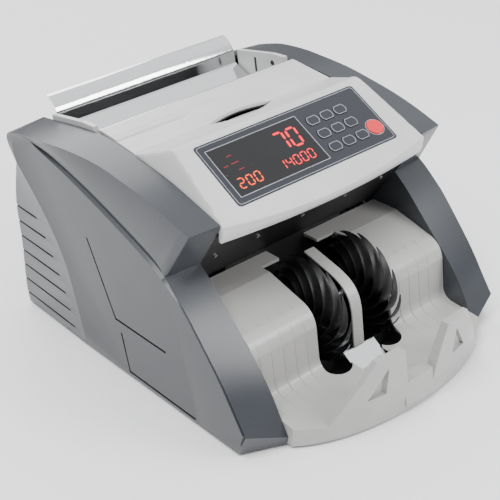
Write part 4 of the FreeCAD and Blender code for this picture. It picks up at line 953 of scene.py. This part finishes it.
# %% The strip, with a rounded bend, and its screw
STRIP_HALF, STRIP_THICK, STRIP_EDGE = 4.9, 1.9, 0.5
STRIP_BEND, STRIP_FOOT = (-115.4, 58), (-115.5, 27)
strip_line = (smooth_run([(-66, 91), (-82, 86.2), (-98, 81), (-107.5, 75.6), (-113.3, 67.6), STRIP_BEND], 26)
              + straight_run([STRIP_BEND, STRIP_FOOT], 3) + [Vector(STRIP_FOOT)])
flat_half = STRIP_HALF - STRIP_EDGE
strip_section = ((-flat_half, 0.0), (flat_half, 0.0), (STRIP_HALF, 0.25), (STRIP_HALF, 1.0),
                 (-STRIP_HALF, 1.0), (-STRIP_HALF, 0.25))
strip_rings = []
for i, here in enumerate(strip_line):
    before, after = strip_line[max(i - 1, 0)], strip_line[min(i + 1, len(strip_line) - 1)]
    way = (after - before).normalized()
    under = Vector((way.y, -way.x)) * STRIP_THICK
    strip_rings.append([Vector((x, here.x + under.x * deep, here.y + under.y * deep))
                        for x, deep in strip_section])
centre_strip = loft("centre_strip_moulding", strip_rings)
shade(centre_strip, 40)
dress(centre_strip, tray_abs, "chassis", ["centre_strip"])

strip_screw = round_bar("strip_screw_head", [(0, 2.4), (0.7, 2.3), (1.1, 1.9), (1.25, 1.2), (0.7, 1.1),
                                             (0.7, 0.3)], (0, -115.4, 36.5), (0, -1, 0))
shade(strip_screw, 35)
dress(strip_screw, black_abs, "chassis")

# %% The deflector: a rolled edge, a sloping sheet with a soft sag, and a turned-down foot
DEFLECTOR_SPAN = 15.6
DEFLECTOR_FOOT = (-135.8, 15.2)
SHEET_BACK, SHEET_DOWN = 0.3, 0.7
deflector_line = smooth_run([(-113.2, 25.6), (-114.2, 26.6), (-116.4, 26.2), (-121, 22.6), (-127.5, 18.6),
                             DEFLECTOR_FOOT], 30) + [Vector(DEFLECTOR_FOOT)]
deflector_rings = [[Vector((-DEFLECTOR_SPAN, y, z)), Vector((DEFLECTOR_SPAN, y, z)),
                    Vector((DEFLECTOR_SPAN, y + SHEET_BACK, z - SHEET_DOWN)),
                    Vector((-DEFLECTOR_SPAN, y + SHEET_BACK, z - SHEET_DOWN))]
                   for y, z in deflector_line]
deflector = loft("note_deflector", deflector_rings)
shade(deflector, 40)
dress(deflector, polished_steel, "chassis", ["deflector_plate"])

# %% The black wells behind the slots, painted shade
WELL_INNER, WELL_OUTER = 14.7, 37.8
WELL_REAR, WELL_BEND = -110.0, -120.0
WELL_TOP, WELL_BOTTOM = 21.0, 9.0
WELL_WALL = 0.5


def well(side):
    """A black well, painted shade in the slot: the slot's outline, extruded down from just under the
    stacker's skin.
    """
    middle = (WELL_INNER + WELL_OUTER) / 2
    reach = (WELL_OUTER - WELL_INNER) / 2
    plan = [(WELL_INNER, WELL_REAR)]
    for step in range(13):
        angle = math.pi + math.pi * step / 12
        plan.append((middle + reach * math.cos(angle), WELL_BEND + reach * math.sin(angle)))
    plan.append((WELL_OUTER, WELL_REAR))
    rings = [[Vector((side * x, y, z)) for x, y in plan] for z in (WELL_TOP, WELL_BOTTOM)]
    return loft("well", rings, caps=(False, True))


# painted shade: black wells that keep the slots dark
wells = join([well(side) for side in (LEFT, RIGHT)])
wells.name = "wheel_slot_painted_shade_wells"
apply_modifier(wells, "SOLIDIFY", thickness=WELL_WALL * MM, offset=1.0)
shade(wells, 40)
dress(wells, black_abs, "chassis")

# %% [markdown]
# ## Ribs of the stacker
# Fine ribs run down both sides of the stacker, over its shoulder, down its wall and out along the floor,
# so that a note touches little of the plastic and doesn't cling to it. Each is a thin half-sunk bead
# that follows the tray's own outline.

# %% Ribs
RIB_PLACES = (48.6, 59.5, 70.4, 81.3, 92.2)
RIB_RADIUS = 0.42
RIB_END_SHARE = 0.25
RIB_SIDES = 8
tray_line = (smooth_run([(-97.5, 77.6), (-104, 75.0), (-109.8, 70.2), (-113, 64.5), (-114, 58)], 9)
             + straight_run([(-114, 58), (-114, 34)], 3)
             + smooth_run([(-114, 34), (-114.6, 29.5), (-117.0, 25.6), (-122, 22.9)], 5)
             + straight_run([(-122, 22.9), (-150, 19.1)], 4))
tray_line = [Vector(point) for point in tray_line]


def rib(x):
    """A bead along the tray's outline at one distance from the middle."""
    rings = []
    for i, here in enumerate(tray_line):
        before, after = tray_line[max(i - 1, 0)], tray_line[min(i + 1, len(tray_line) - 1)]
        way = (after - before).normalized()
        out = Vector((way.y, -way.x)) if way.y < 0 else Vector((-way.y, way.x))
        radius = RIB_RADIUS * (RIB_END_SHARE if i in (0, len(tray_line) - 1) else 1.0)
        ring = []
        for turn in range(RIB_SIDES):
            angle = math.tau * turn / RIB_SIDES
            lift = out * math.sin(angle) * radius
            ring.append(Vector((x + math.cos(angle) * radius, here.x + lift.x, here.y + lift.y)))
        rings.append(ring)
    return loft("rib", rings)


ribs = join([rib(side * x) for side in (LEFT, RIGHT) for x in RIB_PLACES])
ribs.name = "stacker_ribs"
shade(ribs, 60)
dress(ribs, tray_abs, "chassis")

# %% [markdown]
# ## The floor, the lights and the camera
# The machine stands on a plain white sweep in a light tent. A big soft light stands above and to the
# left, a weaker one to the right and in front, and the tent itself glows all round. The camera stands in
# front and to the left, a little above, about as far away as someone taking a product picture.

# %% Floor
FLOOR_SIZE = 8.0
bpy.ops.mesh.primitive_plane_add(size=FLOOR_SIZE)
floor = bpy.context.object
floor.name = "floor"
paper, paper_tree, paper_shader = new_finish("white_background_paper", "#f4f4f4", 0.9)
paper_fibre = grain(paper_tree, 3.0)
vary_colour(paper_tree, paper_shader, paper_fibre, "#f2f2f2", "#f6f6f6")
floor.data.materials.append(paper)

# %% Lights
def soft_light(name, place, aim, size, watts):
    """A square area light that points at aim."""
    bpy.ops.object.light_add(type="AREA", location=place)
    light = bpy.context.object
    light.name = name
    light.data.size = size
    light.data.energy = watts
    light.rotation_euler = (Vector(aim) - Vector(place)).to_track_quat("-Z", "Y").to_euler()
    return light


soft_light("key_light", (-0.7, -0.5, 1.8), (0, 0, 0.1), 1.0, 30)
soft_light("fill_light", (0.7, -1.3, 0.9), (0, 0, 0.1), 0.6, 14)
soft_light("back_light", (0.4, 1.6, 1.3), (0, 0, 0.15), 1.2, 18)

TENT_TOP, HORIZON_GLOW, TOP_GLOW = 0.8, 0.10, 1.7
tent = bpy.data.worlds.new("light_tent")
tent.use_nodes = True
tent_tree = tent.node_tree
tent_glow = tent_tree.nodes["Background"]
tent_glow.inputs["Color"].default_value = srgb("#f7f8fa")
direction = add_node(tent_tree, "ShaderNodeTexCoord")
height = add_node(tent_tree, "ShaderNodeSeparateXYZ")
rise = add_node(tent_tree, "ShaderNodeMapRange")
rise.interpolation_type = "SMOOTHSTEP"
for socket, value in (("From Min", 0.0), ("From Max", TENT_TOP), ("To Min", HORIZON_GLOW),
                      ("To Max", TOP_GLOW)):
    rise.inputs[socket].default_value = value
tent_tree.links.new(direction.outputs["Generated"], height.inputs["Vector"])
tent_tree.links.new(height.outputs["Z"], rise.inputs["Value"])
tent_tree.links.new(rise.outputs["Result"], tent_glow.inputs["Strength"])
bpy.context.scene.world = tent

# %% Camera
CAMERA_PLACE = (-0.4597, -0.6350, 0.4877)
CAMERA_TURN = (61.72, 6.16, -38.72)
CAMERA_LENS = 77.26
bpy.ops.object.camera_add(location=CAMERA_PLACE, rotation=[math.radians(a) for a in CAMERA_TURN])
camera = bpy.context.object
camera.data.lens = CAMERA_LENS
camera.data.sensor_width = 36.0
bpy.context.scene.camera = camera
